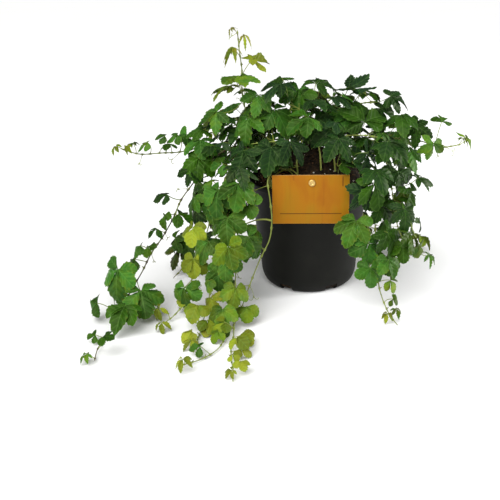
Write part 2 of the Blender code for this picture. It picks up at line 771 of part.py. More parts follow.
def leaf_by_rule(line, share, side, fill, draw, attempt):
    """A leaf that grows by the rule: to alternate sides, lifted to the light, lower ones hanging."""
    near_reach, far_reach, near_stalk, far_stalk = fill[2:]
    at = share * (len(line) - 1)
    foot = line_point(line, at)
    index = min(len(line) - 2, int(at))
    along = (line[index + 1] - line[index]).normalized()
    outward = Vector((foot.x, foot.y, 0)).normalized()
    rise = min(1.0, max(0.0, foot.z / LYING_BELOW))
    hang = min(1.0, max(0.0, (HANGS_FROM - foot.z) / HANGS_OVER)) * rise
    across = along.cross(UP if abs(along.z) < STEEP_STEM else outward).normalized()
    loose = LEAN_LUCK + LEAN_EASE * attempt / TRIES
    shake = Vector([draw.uniform(-loose, loose) for _ in range(3)])
    turn = draw.uniform(-loose, loose)
    luck = draw.uniform(-1, 1)
    light = UP * (LIGHT_UP[0] + LIGHT_UP[1] * hang) + outward * (LIGHT_OUT[0] + LIGHT_OUT[1] * hang)
    lean = across * side * LEAN_ASIDE + light * LEAN_LIGHT + along * LEAN_ALONG + shake
    lean.normalize()
    smaller = 1 - SHRINK_EASE * attempt / TRIES
    reach = (near_reach + (far_reach - near_reach) * share) * (1 + REACH_LUCK * luck) * smaller
    stalk = (near_stalk + (far_stalk - near_stalk) * share) * (1 + STALK_LUCK * draw.uniform(-1, 1))
    centre = foot + lean * stalk
    centre.z = max(centre.z, LYING_HEIGHT + LYING_PER_REACH * reach)
    face = UP * (FACE_UP[0] + FACE_UP[1] * hang) + outward * (FACE_OUT[0] + FACE_OUT[1] * hang)
    normal = face + shake * FACE_LUCK
    forward = lean + outward * POINT_OUT - UP * POINT_DOWN * hang + across * turn
    return make_leaf(foot, centre, normal, forward, reach, share, luck)


def grow_plant():
    """Every stem's line and its leaves: the lines first, then the leaves that find room."""
    room = Room()
    room.add(turned_shape(pot_profile(), POT_SIDES))
    room.add(turned_shape(soil_profile(), POT_SIDES))
    room.add(box_shape(*card_corners()))
    plant = {}
    for number, (name, stem) in enumerate(STEMS.items()):
        line = stem_points(stem, random.Random(LINE_SEED + number))
        plant[name] = (line, [])
        radii = [stem_radius(place / (len(line) - 1)) + CLEAR for place in range(len(line))]
        room.add(tube_shape(line, radii), name)
    for number, (name, stem) in enumerate(STEMS.items()):
        line, leaves = plant[name]
        draw = random.Random(PLACED_SEED + number)
        for place in stem["leaves"]:
            try_leaf(room, name, leaves, lambda attempt: leaf_at_place(place, line, draw, attempt))
    for number, (name, stem) in enumerate(STEMS.items()):
        line, leaves = plant[name]
        fill_stem(room, name, line, leaves, stem["fill"], random.Random(FILL_SEED + number))
    return plant


def try_leaf(room, name, leaves, make):
    """Adds the first leaf of up to TRIES attempts that stands clear of all that is there."""
    for attempt in range(TRIES):
        leaf = make(attempt)
        if room.is_free(leaf, name):
            leaves.append(leaf)
            room.add(leaf_shape(leaf))
            return


def fill_stem(room, name, line, leaves, fill, draw):
    """Leaves by the rule along a stem, to alternate sides, where none was placed by hand."""
    first, spacing = fill[:2]
    length = sum((b - a).length for a, b in zip(line, line[1:]))
    side = draw.choice((-1, 1))
    placed = first + ROOT_DEPTH
    while placed < length:
        share = placed / length
        foot = line_point(line, share * (len(line) - 1))
        near = min([(leaf.foot - foot).length for leaf in leaves], default=spacing)
        if near > spacing * FILL_NEAREST:
            rule = (line, share, side, fill, draw)
            try_leaf(room, name, leaves, lambda attempt: leaf_by_rule(*rule, attempt))
        side = -side
        placed += spacing * draw.uniform(1 - SPACING_LUCK, 1 + SPACING_LUCK)


def new_collection(name, hidden=False):
    collection = bpy.data.collections.new(name)
    bpy.context.scene.collection.children.link(collection)
    collection.hide_render = hidden
    return collection


def new_material(name, colour, roughness, metallic=0.0):
    material = bpy.data.materials.new(name)
    material.use_nodes = True
    shader = material.node_tree.nodes["Principled BSDF"]
    shader.inputs["Base Color"].default_value = (*colour, 1.0)
    shader.inputs["Roughness"].default_value = roughness
    shader.inputs["Metallic"].default_value = metallic
    material.diffuse_color = (*colour, 1.0)
    return material


def new_object(name, mesh, collection, material=None):
    obj = bpy.data.objects.new(name, mesh)
    collection.objects.link(obj)
    if material:
        mesh.materials.append(material)
    return obj


def mesh_of(name, points, faces):
    """A mesh in metres from points in millimetres."""
    mesh = bpy.data.meshes.new(name)
    mesh.from_pydata([tuple(point * MM) for point in points], [], faces)
    mesh.update()
    return mesh


def turned(name, profile, collection, material):
    """A profile of (radius, height) points, turned about the pot's axis by a Screw."""
    mesh = bpy.data.meshes.new(name)
    points = [(radius * MM, 0, height * MM) for radius, height in profile]
    mesh.from_pydata(points, [(i, i + 1) for i in range(len(points) - 1)], [])
    obj = new_object(name, mesh, collection, material)
    screw = obj.modifiers.new("turn", "SCREW")
    screw.steps = screw.render_steps = POT_SIDES
    screw.use_merge_vertices = True
    screw.merge_threshold = 1e-5
    screw.use_smooth_shade = True
    return obj


def placed(name, shape, place, collection, material=None):
    """The bmesh shape as an object with its middle at that place in millimetres."""
    mesh = bpy.data.meshes.new(name)
    shape.to_mesh(mesh)
    shape.free()
    obj = new_object(name, mesh, collection, material)
    obj.location = [value * MM for value in place]
    return obj


def box(name, size, place, collection, material=None):
    shape = bmesh.new()
    bmesh.ops.create_cube(shape, size=1.0)
    bmesh.ops.scale(shape, vec=[side * MM for side in size], verts=shape.verts)
    return placed(name, shape, place, collection, material)


def cylinder(name, radius, length, sides, place, collection):
    """An upright cylinder, or prism, with its middle at that place."""
    shape = bmesh.new()
    bmesh.ops.create_cone(
        shape, cap_ends=True, segments=sides, radius1=radius * MM, radius2=radius * MM, depth=length * MM
    )
    return placed(name, shape, place, collection)


def cut_with(obj, cutters):
    for other in cutters:
        other.hide_render = True
        other.display_type = "WIRE"
        cut = obj.modifiers.new("cut " + other.name, "BOOLEAN")
        cut.operation = "DIFFERENCE"
        cut.object = other


def make_pot(parts, cutters):
    black = new_material("black plastic", (0.016, 0.017, 0.018), 0.45)
    pot = turned("pot", pot_profile(), parts, black)
    slots = []
    for number in range(SLOTS):
        turn = math.radians(FIRST_SLOT_TURN + 360 / SLOTS * number)
        length = SHOULDER_RADIUS + SLOT_BEYOND - SLOT_INSIDE
        middle = SLOT_INSIDE + length / 2
        place = (middle * math.sin(turn), -middle * math.cos(turn), SLOT_HEIGHT / 2 - SLOT_BELOW)
        size = (SLOT_WIDTH, length, SLOT_HEIGHT + 2 * SLOT_BELOW)
        slot = box(f"slot_{number}", size, place, cutters)
        slot.rotation_euler.z = turn
        slots.append(slot)
    cut_with(pot, slots)


def stake_strip(name, more, collection, material=None):
    """The stake's leaning strip, or its hole, which is that much larger."""
    (foot_y, foot_z), (top_y, top_z) = STAKE_FOOT, STAKE_TOP
    size = (STAKE_WIDTH + more, STAKE_THICK + more, math.hypot(top_y - foot_y, top_z - foot_z) + more)
    place = (STUD_X, (foot_y + top_y) / 2, (foot_z + top_z) / 2)
    strip = box(name, size, place, collection, material)
    strip.rotation_euler.x = math.atan2(foot_y - top_y, top_z - foot_z)
    return strip


def make_soil(parts, cutters, plant):
    peat = new_material("peat", (0.035, 0.019, 0.011), 0.95)
    soil = turned("soil", soil_profile(), parts, peat)
    holes = []
    for name, (line, _) in plant.items():
        foot = line[0]
        length = ROOT_DEPTH + HOLE_ROOM + HOLE_ABOVE
        place = (foot.x, foot.y, foot.z - HOLE_ROOM + length / 2)
        radius = (STEM_RADIUS + HOLE_ROOM) / math.cos(math.pi / HOLE_SIDES)
        holes.append(cylinder("hole_" + name, radius, length, HOLE_SIDES, place, cutters))
    holes.append(stake_strip("hole_stake", 2 * HOLE_ROOM, cutters))
    cut_with(soil, holes)


def make_card(parts, cutters):
    wood = new_material("wood-look card", (0.48, 0.19, 0.012), 0.55)
    middle_y = -POT_RIM_RADIUS - GAP - CARD_THICK / 2
    place = (CARD_MIDDLE_X, middle_y, CARD_TOP - CARD_HEIGHT / 2)
    card = box("label_card", (CARD_WIDTH, CARD_THICK, CARD_HEIGHT), place, parts, wood)
    hole_at = (STUD_X, middle_y, STUD_HEIGHT)
    hole = cylinder("card_hole", STUD_RADIUS + GAP, 4 * CARD_THICK, STUD_SIDES, hole_at, cutters)
    hole.rotation_euler.x = math.pi / 2
    cut_with(card, [hole])


def make_stake(parts):
    """The strip in the soil with its stud, whose head holds the card from the front."""
    gold = new_material("pale gold", (0.72, 0.5, 0.18), 0.3, 0.8)
    stake = stake_strip("label_stake", 0, parts, gold)
    (foot_y, foot_z), (top_y, top_z) = STAKE_FOOT, STAKE_TOP
    strip_y = foot_y + (top_y - foot_y) * (STUD_HEIGHT - foot_z) / (top_z - foot_z)
    head_back = -POT_RIM_RADIUS - 2 * GAP - CARD_THICK
    head_y = head_back - STUD_HEAD_THICK / 2
    bits = new_collection("stud")
    shank_at = (STUD_X, (strip_y + head_y) / 2, STUD_HEIGHT)
    cylinder("shank", STUD_RADIUS, strip_y - head_y, STUD_SIDES, shank_at, bits)
    head_at = (STUD_X, head_y, STUD_HEIGHT)
    cylinder("head", STUD_HEAD_RADIUS, STUD_HEAD_THICK, STUD_SIDES, head_at, bits)
    for bit in bits.objects:
        bit.rotation_euler.x = math.pi / 2
    fuse(stake, bits)


def fuse(obj, collection):
    """Joins all of a collection to the object by one Boolean, applies it and removes the collection."""
    join = obj.modifiers.new("join", "BOOLEAN")
    join.operation = "UNION"
    join.operand_type = "COLLECTION"
    join.collection = collection
    join.solver = "MANIFOLD"
    bpy.context.view_layer.update()
    graph = bpy.context.evaluated_depsgraph_get()
    whole = bpy.data.meshes.new_from_object(obj.evaluated_get(graph))
    obj.modifiers.clear()
    obj.data = whole
    for other in list(collection.objects):
        bpy.data.objects.remove(other)
    bpy.data.collections.remove(collection)
    drop_scraps(obj)


def drop_scraps(obj):
    """Keeps the largest body: a sealed hollow is filled so, and a loose scrap is dropped."""
    shape = bmesh.new()
    shape.from_mesh(obj.data)
    left = set(shape.verts)
    bodies = []
    while left:
        body, edge = set(), [left.pop()]
        while edge:
            vertex = edge.pop()
            body.add(vertex)
            for link in vertex.link_edges:
                other = link.other_vert(vertex)
                if other in left:
                    left.discard(other)
                    edge.append(other)
        bodies.append(body)
    bodies.sort(key=len)
    for body in bodies[:-1]:
        bmesh.ops.delete(shape, geom=list(body), context="VERTS")
    bmesh.ops.triangulate(shape, faces=shape.faces)
    shape.to_mesh(obj.data)
    shape.free()


def stem_mesh(name, line, collection, material):
    """The stem as a tapered tube: a bevelled curve made into a mesh, its caps welded."""
    curve = bpy.data.curves.new(name, "CURVE")
    curve.dimensions = "3D"
    curve.bevel_depth = MM
    curve.bevel_resolution = 0
    curve.use_fill_caps = True
    spline = curve.splines.new("POLY")
    spline.points.add(len(line) - 1)
    for place, (point, knot) in enumerate(zip(line, spline.points)):
        knot.co = (*(point * MM), 1)
        knot.radius = stem_radius(place / (len(line) - 1))
    guide = new_object(name + "_guide", curve, collection)
    bpy.context.view_layer.update()
    graph = bpy.context.evaluated_depsgraph_get()
    mesh = bpy.data.meshes.new_from_object(guide.evaluated_get(graph))
    obj = new_object(name, mesh, collection, material)
    obj.matrix_world = guide.matrix_world
    bpy.data.objects.remove(guide)
    shape = bmesh.new()
    shape.from_mesh(mesh)
    bmesh.ops.remove_doubles(shape, verts=shape.verts, dist=1e-6)
    bmesh.ops.recalc_face_normals(shape, faces=shape.faces)
    shape.to_mesh(mesh)
    shape.free()
    return obj


def make_stem(name, line, leaves, parts, green):
    stem = stem_mesh(name, line, parts, green)
    blades = new_collection(name + "_leaves")
    for number, leaf in enumerate(leaves):
        leaf_name = f"{name}_leaf_{number}"
        new_object(leaf_name, mesh_of(leaf_name, *leaf_shape(leaf)), blades, green)
    fuse(stem, blades)


def clear_scene():
    for obj in list(bpy.data.objects):
        bpy.data.objects.remove(obj)


def main():
    clear_scene()
    parts = new_collection("miniature_grape_ivy")
    cutters = new_collection("cutters", hidden=True)
    plant = grow_plant()
    make_pot(parts, cutters)
    make_soil(parts, cutters, plant)
    make_card(parts, cutters)
    make_stake(parts)
    green = new_material("ivy leaf", (0.045, 0.16, 0.02), 0.5)
    for name, (line, leaves) in plant.items():
        make_stem(name, line, leaves, parts, green)


main()
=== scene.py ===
"""A miniature grape ivy growing in a black nursery pot, with a wood-look card hung at the rim.

Sizes are in millimetres, and MM turns them into metres. +Z is up and the front faces -Y.
The origin is the centre of the pot's flat base.
"""

import math
import random

import bmesh
import bpy
from mathutils import Matrix, Vector, noise
from mathutils.bvhtree import BVHTree


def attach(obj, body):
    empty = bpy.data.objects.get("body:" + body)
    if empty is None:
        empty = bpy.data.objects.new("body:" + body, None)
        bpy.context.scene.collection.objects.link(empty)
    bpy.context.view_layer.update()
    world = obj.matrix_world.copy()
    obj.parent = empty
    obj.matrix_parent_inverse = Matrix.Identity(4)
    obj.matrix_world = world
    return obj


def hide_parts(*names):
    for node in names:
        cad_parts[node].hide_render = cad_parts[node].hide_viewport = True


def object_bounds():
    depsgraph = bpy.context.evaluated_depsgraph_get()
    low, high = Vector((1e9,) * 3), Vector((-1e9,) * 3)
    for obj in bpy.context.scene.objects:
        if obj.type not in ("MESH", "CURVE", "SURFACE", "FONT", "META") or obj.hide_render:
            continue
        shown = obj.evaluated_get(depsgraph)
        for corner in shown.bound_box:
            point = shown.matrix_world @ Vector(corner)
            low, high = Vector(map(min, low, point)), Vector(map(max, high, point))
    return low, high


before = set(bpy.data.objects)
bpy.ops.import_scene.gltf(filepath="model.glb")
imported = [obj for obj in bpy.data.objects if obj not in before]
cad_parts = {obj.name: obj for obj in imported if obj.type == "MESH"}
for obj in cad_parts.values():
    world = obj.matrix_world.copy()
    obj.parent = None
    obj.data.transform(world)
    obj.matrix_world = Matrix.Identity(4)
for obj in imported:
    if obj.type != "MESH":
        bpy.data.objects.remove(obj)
cad_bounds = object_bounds()

# The nursery pot: black polypropylene, moulded in one thin shell with a plain lip round the rim and
# drainage slots at the edge of its base. It stands on its flat base, and the soil fills it.
MM = 0.001
GAP = 0.3
UP = Vector((0, 0, 1))
POT_SIDES = 24
POT_FINE_SIDES = 144
POT_HEIGHT = 127.7
POT_RIM_RADIUS = 70.0
POT_WALL = 1.6
LIP_HEIGHT = 5.0
LIP_PROUD = 1.0
LIP_THINNED = 0.4
LIP_ROUND = 0.6
ROUND_CUT = 0.3
SHOULDER_RADIUS = 57.4
SHOULDER_HEIGHT = 21.3
BASE_RADIUS = 46.8
FLOOR_THICK = 2.0
ARC_STEPS = 3
FINE_ARC_STEPS = 16
SLOTS = 6
FIRST_SLOT_TURN = 30.0
SLOT_WIDTH = 15.0
SLOT_HEIGHT = 9.0
SLOT_INSIDE = 43.0
SLOT_BELOW = 1.0
SLOT_BEYOND = 4.0
SLOT_ROUND = 1.4
ROUNDING_STEPS = 3
SHARP_EDGE = math.radians(40)
WELD_WITHIN = 1e-7


def ellipse_arc(middle, high, across, down, steps):
    """Points of a quarter ellipse from its side (middle + across) down to its bottom."""
    turns = [math.pi / 2 * step / steps for step in range(steps + 1)]
    return [(middle + across * math.cos(t), high - down * math.sin(t)) for t in turns]


def body_radius(height):
    """The pot's outer radius on its tapered wall, below the lip."""
    top = POT_RIM_RADIUS - LIP_PROUD
    share = (height - SHOULDER_HEIGHT) / (POT_HEIGHT - LIP_HEIGHT - SHOULDER_HEIGHT)
    return SHOULDER_RADIUS + (top - SHOULDER_RADIUS) * share


def inner_arc(inset, steps):
    """The pot's rounded inner corner, or what lies that far inside it, from its side down."""
    floor = SHOULDER_HEIGHT - FLOOR_THICK - inset
    across = SHOULDER_RADIUS - BASE_RADIUS - POT_WALL - inset
    return ellipse_arc(BASE_RADIUS, SHOULDER_HEIGHT, across, floor, steps)


def pot_profile(steps, rounding=0.0):
    """From the inner floor up the inside, over the lip and down the outside to the base."""
    lip_foot = POT_HEIGHT - LIP_HEIGHT
    inner = POT_RIM_RADIUS - LIP_PROUD - POT_WALL
    inner_lip = inner + LIP_THINNED
    lip = [(inner_lip, POT_HEIGHT), (POT_RIM_RADIUS, POT_HEIGHT)]
    if rounding:
        soft = rounding * ROUND_CUT
        lip = [
            (inner_lip, POT_HEIGHT - rounding), (inner_lip + soft, POT_HEIGHT - soft),
            (inner_lip + rounding, POT_HEIGHT), (POT_RIM_RADIUS - rounding, POT_HEIGHT),
            (POT_RIM_RADIUS - soft, POT_HEIGHT - soft), (POT_RIM_RADIUS, POT_HEIGHT - rounding),
        ]
    rim = [(inner, lip_foot)] + lip
    rim += [(POT_RIM_RADIUS, lip_foot), (POT_RIM_RADIUS - LIP_PROUD, lip_foot - LIP_PROUD)]
    across = SHOULDER_RADIUS - BASE_RADIUS
    outside = ellipse_arc(BASE_RADIUS, SHOULDER_HEIGHT, across, SHOULDER_HEIGHT, steps)
    return [(0, FLOOR_THICK)] + inner_arc(0, steps)[::-1] + rim + outside + [(0, 0)]


def turned_shape(profile, sides):
    """A profile turned about the pot's axis, as points and faces."""
    points, faces = [], []
    for radius, height in profile:
        for side in range(sides):
            turn = math.tau * side / sides
            points.append(Vector((radius * math.cos(turn), radius * math.sin(turn), height)))
    for ring in range(len(profile) - 1):
        for side in range(sides):
            a, b = ring * sides + side, ring * sides + (side + 1) % sides
            faces.append((a, b, b + sides, a + sides))
    return points, faces


def new_object(name, points, faces, weld=True):
    """An object made of points in millimetres, smooth but for its sharp edges."""
    mesh = bpy.data.meshes.new(name)
    mesh.from_pydata([tuple(point * MM) for point in points], [], faces)
    if weld:
        shape = bmesh.new()
        shape.from_mesh(mesh)
        bmesh.ops.remove_doubles(shape, verts=shape.verts, dist=WELD_WITHIN)
        bmesh.ops.recalc_face_normals(shape, faces=shape.faces)
        shape.to_mesh(mesh)
        shape.free()
    smooth(mesh)
    obj = bpy.data.objects.new(name, mesh)
    bpy.context.scene.collection.objects.link(obj)
    return obj


def smooth(mesh):
    mesh.shade_smooth()
    mesh.set_sharp_from_angle(angle=SHARP_EDGE)


def box_object(name, size, place, bevel=0.0):
    """A box with its middle at that place, its edges rounded by that much."""
    shape = bmesh.new()
    bmesh.ops.create_cube(shape, size=1.0)
    bmesh.ops.scale(shape, vec=[side * MM for side in size], verts=shape.verts)
    if bevel:
        round_off = {"offset": bevel * MM, "segments": ROUNDING_STEPS, "affect": "EDGES", "profile": 0.5}
        bmesh.ops.bevel(shape, geom=shape.edges[:], **round_off)
    mesh = bpy.data.meshes.new(name)
    shape.to_mesh(mesh)
    shape.free()
    smooth(mesh)
    obj = bpy.data.objects.new(name, mesh)
    obj.location = [value * MM for value in place]
    bpy.context.scene.collection.objects.link(obj)
    return obj


def combine(obj, others, operation):
    """Cuts the others out of the object or joins them to it, and removes them."""
    for other in others:
        step = obj.modifiers.new(other.name, "BOOLEAN")
        step.operation = operation
        step.object = other
        step.solver = "EXACT"
    bpy.context.view_layer.update()
    graph = bpy.context.evaluated_depsgraph_get()
    mesh = bpy.data.meshes.new_from_object(obj.evaluated_get(graph))
    mesh.transform(obj.matrix_world)
    obj.matrix_world = Matrix()
    obj.modifiers.clear()
    obj.data = mesh
    smooth(mesh)
    for other in others:
        bpy.data.objects.remove(other)


def new_material(name):
    """A material with its node tree and its shader."""
    material = bpy.data.materials.new(name)
    material.use_nodes = True
    tree = material.node_tree
    return material, tree, tree.nodes["Principled BSDF"]


def add_node(tree, kind, inputs=(), **settings):
    """A shader node with its settings, its inputs fed by other nodes' sockets or by plain values."""
    node = tree.nodes.new("ShaderNode" + kind)
    for name, value in settings.items():
        setattr(node, name, value)
    for key, value in dict(inputs).items():
        if isinstance(value, bpy.types.NodeSocket):
            tree.links.new(value, node.inputs[key])
        else:
            node.inputs[key].default_value = value
    return node


def place_of(tree):
    """The place in the object, in metres."""
    return add_node(tree, "TexCoord").outputs["Object"]


def stretched(tree, place, scale):
    mapping = {"Vector": place, "Scale": scale}
    return add_node(tree, "Mapping", mapping).outputs["Vector"]


def noise_at(tree, place, scale, detail=3.0, distortion=0.0):
    values = {"Vector": place, "Scale": scale, "Detail": detail, "Distortion": distortion}
    return add_node(tree, "TexNoise", values).outputs["Fac"]


def in_range(tree, value, low, high, to_low=0.0, to_high=1.0):
    values = {"Value": value, "From Min": low, "From Max": high, "To Min": to_low, "To Max": to_high}
    return add_node(tree, "MapRange", values, interpolation_type="SMOOTHSTEP").outputs["Result"]


def reckon(tree, operation, first, second):
    """One step of arithmetic on two values, each a socket or a plain number."""
    return add_node(tree, "Math", {0: first, 1: second}, operation=operation).outputs[0]


def mixed(tree, share, first, second):
    """A mix of two colours, each a socket or plain red, green and blue."""
    colours = [(*c, 1.0) if isinstance(c, tuple) else c for c in (first, second)]
    values = {0: share, 6: colours[0], 7: colours[1]}
    return add_node(tree, "Mix", values, data_type="RGBA").outputs[2]


def ramp(tree, value, stops):
    """A colour for each value, between the colours of the nearest two stops."""
    node = add_node(tree, "ValToRGB", {"Fac": value})
    elements = node.color_ramp.elements
    elements[0].position, elements[0].color = stops[0][0], (*stops[0][1], 1.0)
    elements[1].position, elements[1].color = stops[-1][0], (*stops[-1][1], 1.0)
    for position, colour in stops[1:-1]:
        elements.new(position).color = (*colour, 1.0)
    return node.outputs["Color"]


def set_finish(tree, shader, colour, rough, **values):
    """Gives the shader its colour, and plain values for its roughness and its other sockets."""
    tree.links.new(colour, shader.inputs["Base Color"])
    shader.inputs["Roughness"].default_value = rough
    for name, value in values.items():
        shader.inputs[name.replace("_", " ")].default_value = value


def set_bump(tree, shader, height, strength, distance):
    values = {"Height": height, "Strength": strength, "Distance": distance * MM}
    tree.links.new(add_node(tree, "Bump", values).outputs["Normal"], shader.inputs["Normal"])


def black_plastic():
    """Matte black with a faint grain and a little dust."""
    material, tree, shader = new_material("black plastic")
    place = place_of(tree)
    dust = in_range(tree, noise_at(tree, place, 35, 5), 0.45, 0.8)
    colour = mixed(tree, dust, (0.0036, 0.0038, 0.0025), (0.0066, 0.0068, 0.0047))
    set_finish(tree, shader, colour, 0.58, Specular_IOR_Level=0.16)
    set_bump(tree, shader, noise_at(tree, place, 1400, 2), 0.12, 0.2)
    return material


pot = new_object("nursery_pot", *turned_shape(pot_profile(FINE_ARC_STEPS, LIP_ROUND), POT_FINE_SIDES))
slots = []
for number in range(SLOTS):
    turn = math.radians(FIRST_SLOT_TURN + 360 / SLOTS * number)
    length = SHOULDER_RADIUS + SLOT_BEYOND - SLOT_INSIDE
    middle = SLOT_INSIDE + length / 2
    slot_at = (middle * math.sin(turn), -middle * math.cos(turn), SLOT_HEIGHT / 2 - SLOT_BELOW)
    slot_size = (SLOT_WIDTH, length, SLOT_HEIGHT + 2 * SLOT_BELOW)
    slot = box_object(f"slot_{number}", slot_size, slot_at, SLOT_ROUND)
    slot.rotation_euler.z = turn
    slots.append(slot)
combine(pot, slots, "DIFFERENCE")
pot.data.materials.append(black_plastic())
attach(pot, "root")
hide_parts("pot")


# The soil: dark moist peat with fibres and white perlite, pressed in round the roots. The root ball
# stands up in a mound above the rim, with crumbs lying loose on it and dry scraps near the edge.
SOIL_EDGE_HEIGHT = 121.5
SOIL_RISE = 42.0
SOIL_SHAPE = 2.4
SOIL_RINGS = (0.86, 0.64, 0.34)
SOIL_FINE_RINGS = 64
SOIL_FINE_SIDES = 200
# The surface's lumps and its finer grain: height, size, and the roughness, steps and shift of each.
LUMP_HEIGHT, LUMP_SIZE, LUMP_ROUGHNESS = 2.4, 13.0, (0.9, 2.0, 3)
GRAIN_HEIGHT, GRAIN_SIZE, GRAIN_MIDDLE, GRAIN_STEPS, GRAIN_SHIFT = 1.5, 3.4, 0.7, 3, 40
ABOVE_EDGE = 0.01
# The surface lies so much lower than the smooth mound, and calms over this share of it at the edge.
SURFACE_SUNK, CALM_EDGE = 0.8, 1 / 12
# Each kind of loose bit: how many, its smallest and largest radius, how flat, and its material.
PEAT, PERLITE, DRY = 0, 1, 2
BITS = (
    (900, 0.5, 1.5, 0.7, PEAT),
    (160, 1.5, 2.7, 0.7, PEAT),
    (120, 0.45, 1.05, 0.85, PERLITE),
    (90, 0.9, 3.0, 0.3, DRY),
)
BIT_ROUGH, BIT_TILT, BIT_LONG, BIT_WIDE = 0.2, 0.6, (0.8, 1.3), (0.7, 1.1)
BIT_SUNK, FINE_FROM_SIZE, BITS_SPREAD = 0.25, 1.5, 0.95
# Most of the dry scraps lie together near the edge: their share, turn, distance and lift.
DRY_TOGETHER, DRY_TURN, DRY_FAR, DRY_LIFT = 0.6, (195, 250), (52, 62), 0.5
FIBRES, FIBRES_SPREAD, FIBRES_DRY = 160, 0.93, 0.5
FIBRE_LENGTH, FIBRE_TILT, FIBRE_RADIUS = (3, 9), (-0.1, 0.5), (0.15, 0.35)
SOIL_SEED = 7


def soil_radius():
    return body_radius(SOIL_EDGE_HEIGHT) - POT_WALL - GAP


def soil_height(x, y):
    share = min(1.0, math.hypot(x, y) / soil_radius())
    return SOIL_EDGE_HEIGHT + SOIL_RISE * (1 - share**SOIL_SHAPE)


def soil_profile(rings, steps):
    """From the top of the mound out to its edge and down the inside of the pot."""
    slope = [(share * soil_radius(), soil_height(share * soil_radius(), 0)) for share in rings]
    top = [(0, soil_height(0, 0))] + slope[::-1]
    return top + [(soil_radius(), SOIL_EDGE_HEIGHT)] + inner_arc(GAP, steps) + [(0, FLOOR_THICK + GAP)]


def soil_lift(x, y):
    """How far the crumbly surface stands from the smooth mound there."""
    share = math.hypot(x, y) / soil_radius()
    lump = noise.fractal(Vector((x, y, 0)) / LUMP_SIZE, *LUMP_ROUGHNESS)
    grain = noise.turbulence(Vector((x, y, GRAIN_SHIFT)) / GRAIN_SIZE, GRAIN_STEPS, False)
    edge = min(1.0, (1 - share) / CALM_EDGE)
    return (LUMP_HEIGHT * lump + GRAIN_HEIGHT * (grain - GRAIN_MIDDLE) - SURFACE_SUNK) * edge


def loose_bit(draw, size, flat, detail):
    """An uneven lump as points and faces about the origin."""
    shape = bmesh.new()
    bmesh.ops.create_icosphere(shape, subdivisions=detail, radius=size)
    turn = Matrix.Rotation(draw.uniform(0, math.tau), 3, "Z")
    turn = turn @ Matrix.Rotation(draw.uniform(-BIT_TILT, BIT_TILT), 3, "X")
    stretch = Vector((draw.uniform(*BIT_LONG), draw.uniform(*BIT_WIDE), flat))
    points = []
    for vertex in shape.verts:
        point = vertex.co * (1 + draw.uniform(-BIT_ROUGH, BIT_ROUGH))
        points.append(turn @ Vector([point[axis] * stretch[axis] for axis in range(3)]))
    faces = [tuple(vertex.index for vertex in face.verts) for face in shape.faces]
    shape.free()
    return points, faces


def mound_point(turn, far):
    """The point of the crumbly surface at that turn and that far from the middle."""
    x, y = far * math.cos(turn), far * math.sin(turn)
    return Vector((x, y, soil_height(x, y) + soil_lift(x, y)))


def soil_place(draw, spread):
    """A place on the mound's surface, out to that share of its radius."""
    turn = draw.uniform(0, math.tau)
    return mound_point(turn, soil_radius() * spread * math.sqrt(draw.random()))


def make_soil():
    """The mound with its crumbs, perlite, fibres and dry scraps as one piece."""
    draw = random.Random(SOIL_SEED)
    rings = [1 - (ring + 1) / SOIL_FINE_RINGS for ring in range(SOIL_FINE_RINGS - 1)]
    points, faces = turned_shape(soil_profile(rings, FINE_ARC_STEPS), SOIL_FINE_SIDES)
    for point in points:
        if point.z > SOIL_EDGE_HEIGHT + ABOVE_EDGE:
            point.z += soil_lift(point.x, point.y)
    kinds = [PEAT] * len(faces)

    def add(shape, place, kind):
        start = len(points)
        points.extend(place + point for point in shape[0])
        faces.extend(tuple(start + corner for corner in face) for face in shape[1])
        kinds.extend([kind] * len(shape[1]))

    for count, smallest, largest, flat, kind in BITS:
        for _ in range(count):
            size = smallest + (largest - smallest) * draw.random() ** 2
            detail = 1 if kind == PEAT and size < FINE_FROM_SIZE else 2
            place = soil_place(draw, BITS_SPREAD)
            if kind == DRY and draw.random() < DRY_TOGETHER:
                turn = math.radians(draw.uniform(*DRY_TURN))
                place = mound_point(turn, draw.uniform(*DRY_FAR)) + UP * DRY_LIFT
            add(loose_bit(draw, size, flat, detail), place + UP * size * BIT_SUNK, kind)
    for _ in range(FIBRES):
        place, turn = soil_place(draw, FIBRES_SPREAD), draw.uniform(0, math.tau)
        length, tilt = draw.uniform(*FIBRE_LENGTH), draw.uniform(*FIBRE_TILT)
        way = Vector((math.cos(turn), math.sin(turn), tilt)).normalized()
        side = way.cross(UP).normalized() * draw.uniform(*FIBRE_RADIUS)
        over = side.cross(way)
        ends = [place, place + way * length]
        corners = [end + off for end in ends for off in (side, over, -side, -over)]
        sides = [(n, (n + 1) % 4, 4 + (n + 1) % 4, 4 + n) for n in range(4)]
        kind = DRY if draw.random() < FIBRES_DRY else PEAT
        add((corners, sides + [(3, 2, 1, 0), (4, 5, 6, 7)]), Vector(), kind)
    soil = new_object("peat_mound", points, faces, weld=False)
    for material in (peat(), perlite(), dry_scraps()):
        soil.data.materials.append(material)
    soil.data.polygons.foreach_set("material_index", kinds)
    return soil


def peat():
    """Dark brown and moist, near black in random patches, and with a few reddish fibres."""
    material, tree, shader = new_material("peat")
    place = place_of(tree)
    colour = ramp(tree, noise_at(tree, place, 260, 8), (
        (0.3, (0.0040, 0.0026, 0.0012)), (0.5, (0.013, 0.0075, 0.003)),
        (0.62, (0.034, 0.018, 0.007)), (0.75, (0.072, 0.038, 0.014)),
    ))
    set_finish(tree, shader, colour, 0.88, Specular_IOR_Level=0.2)
    set_bump(tree, shader, noise_at(tree, place, 900, 6), 0.9, 0.8)
    return material


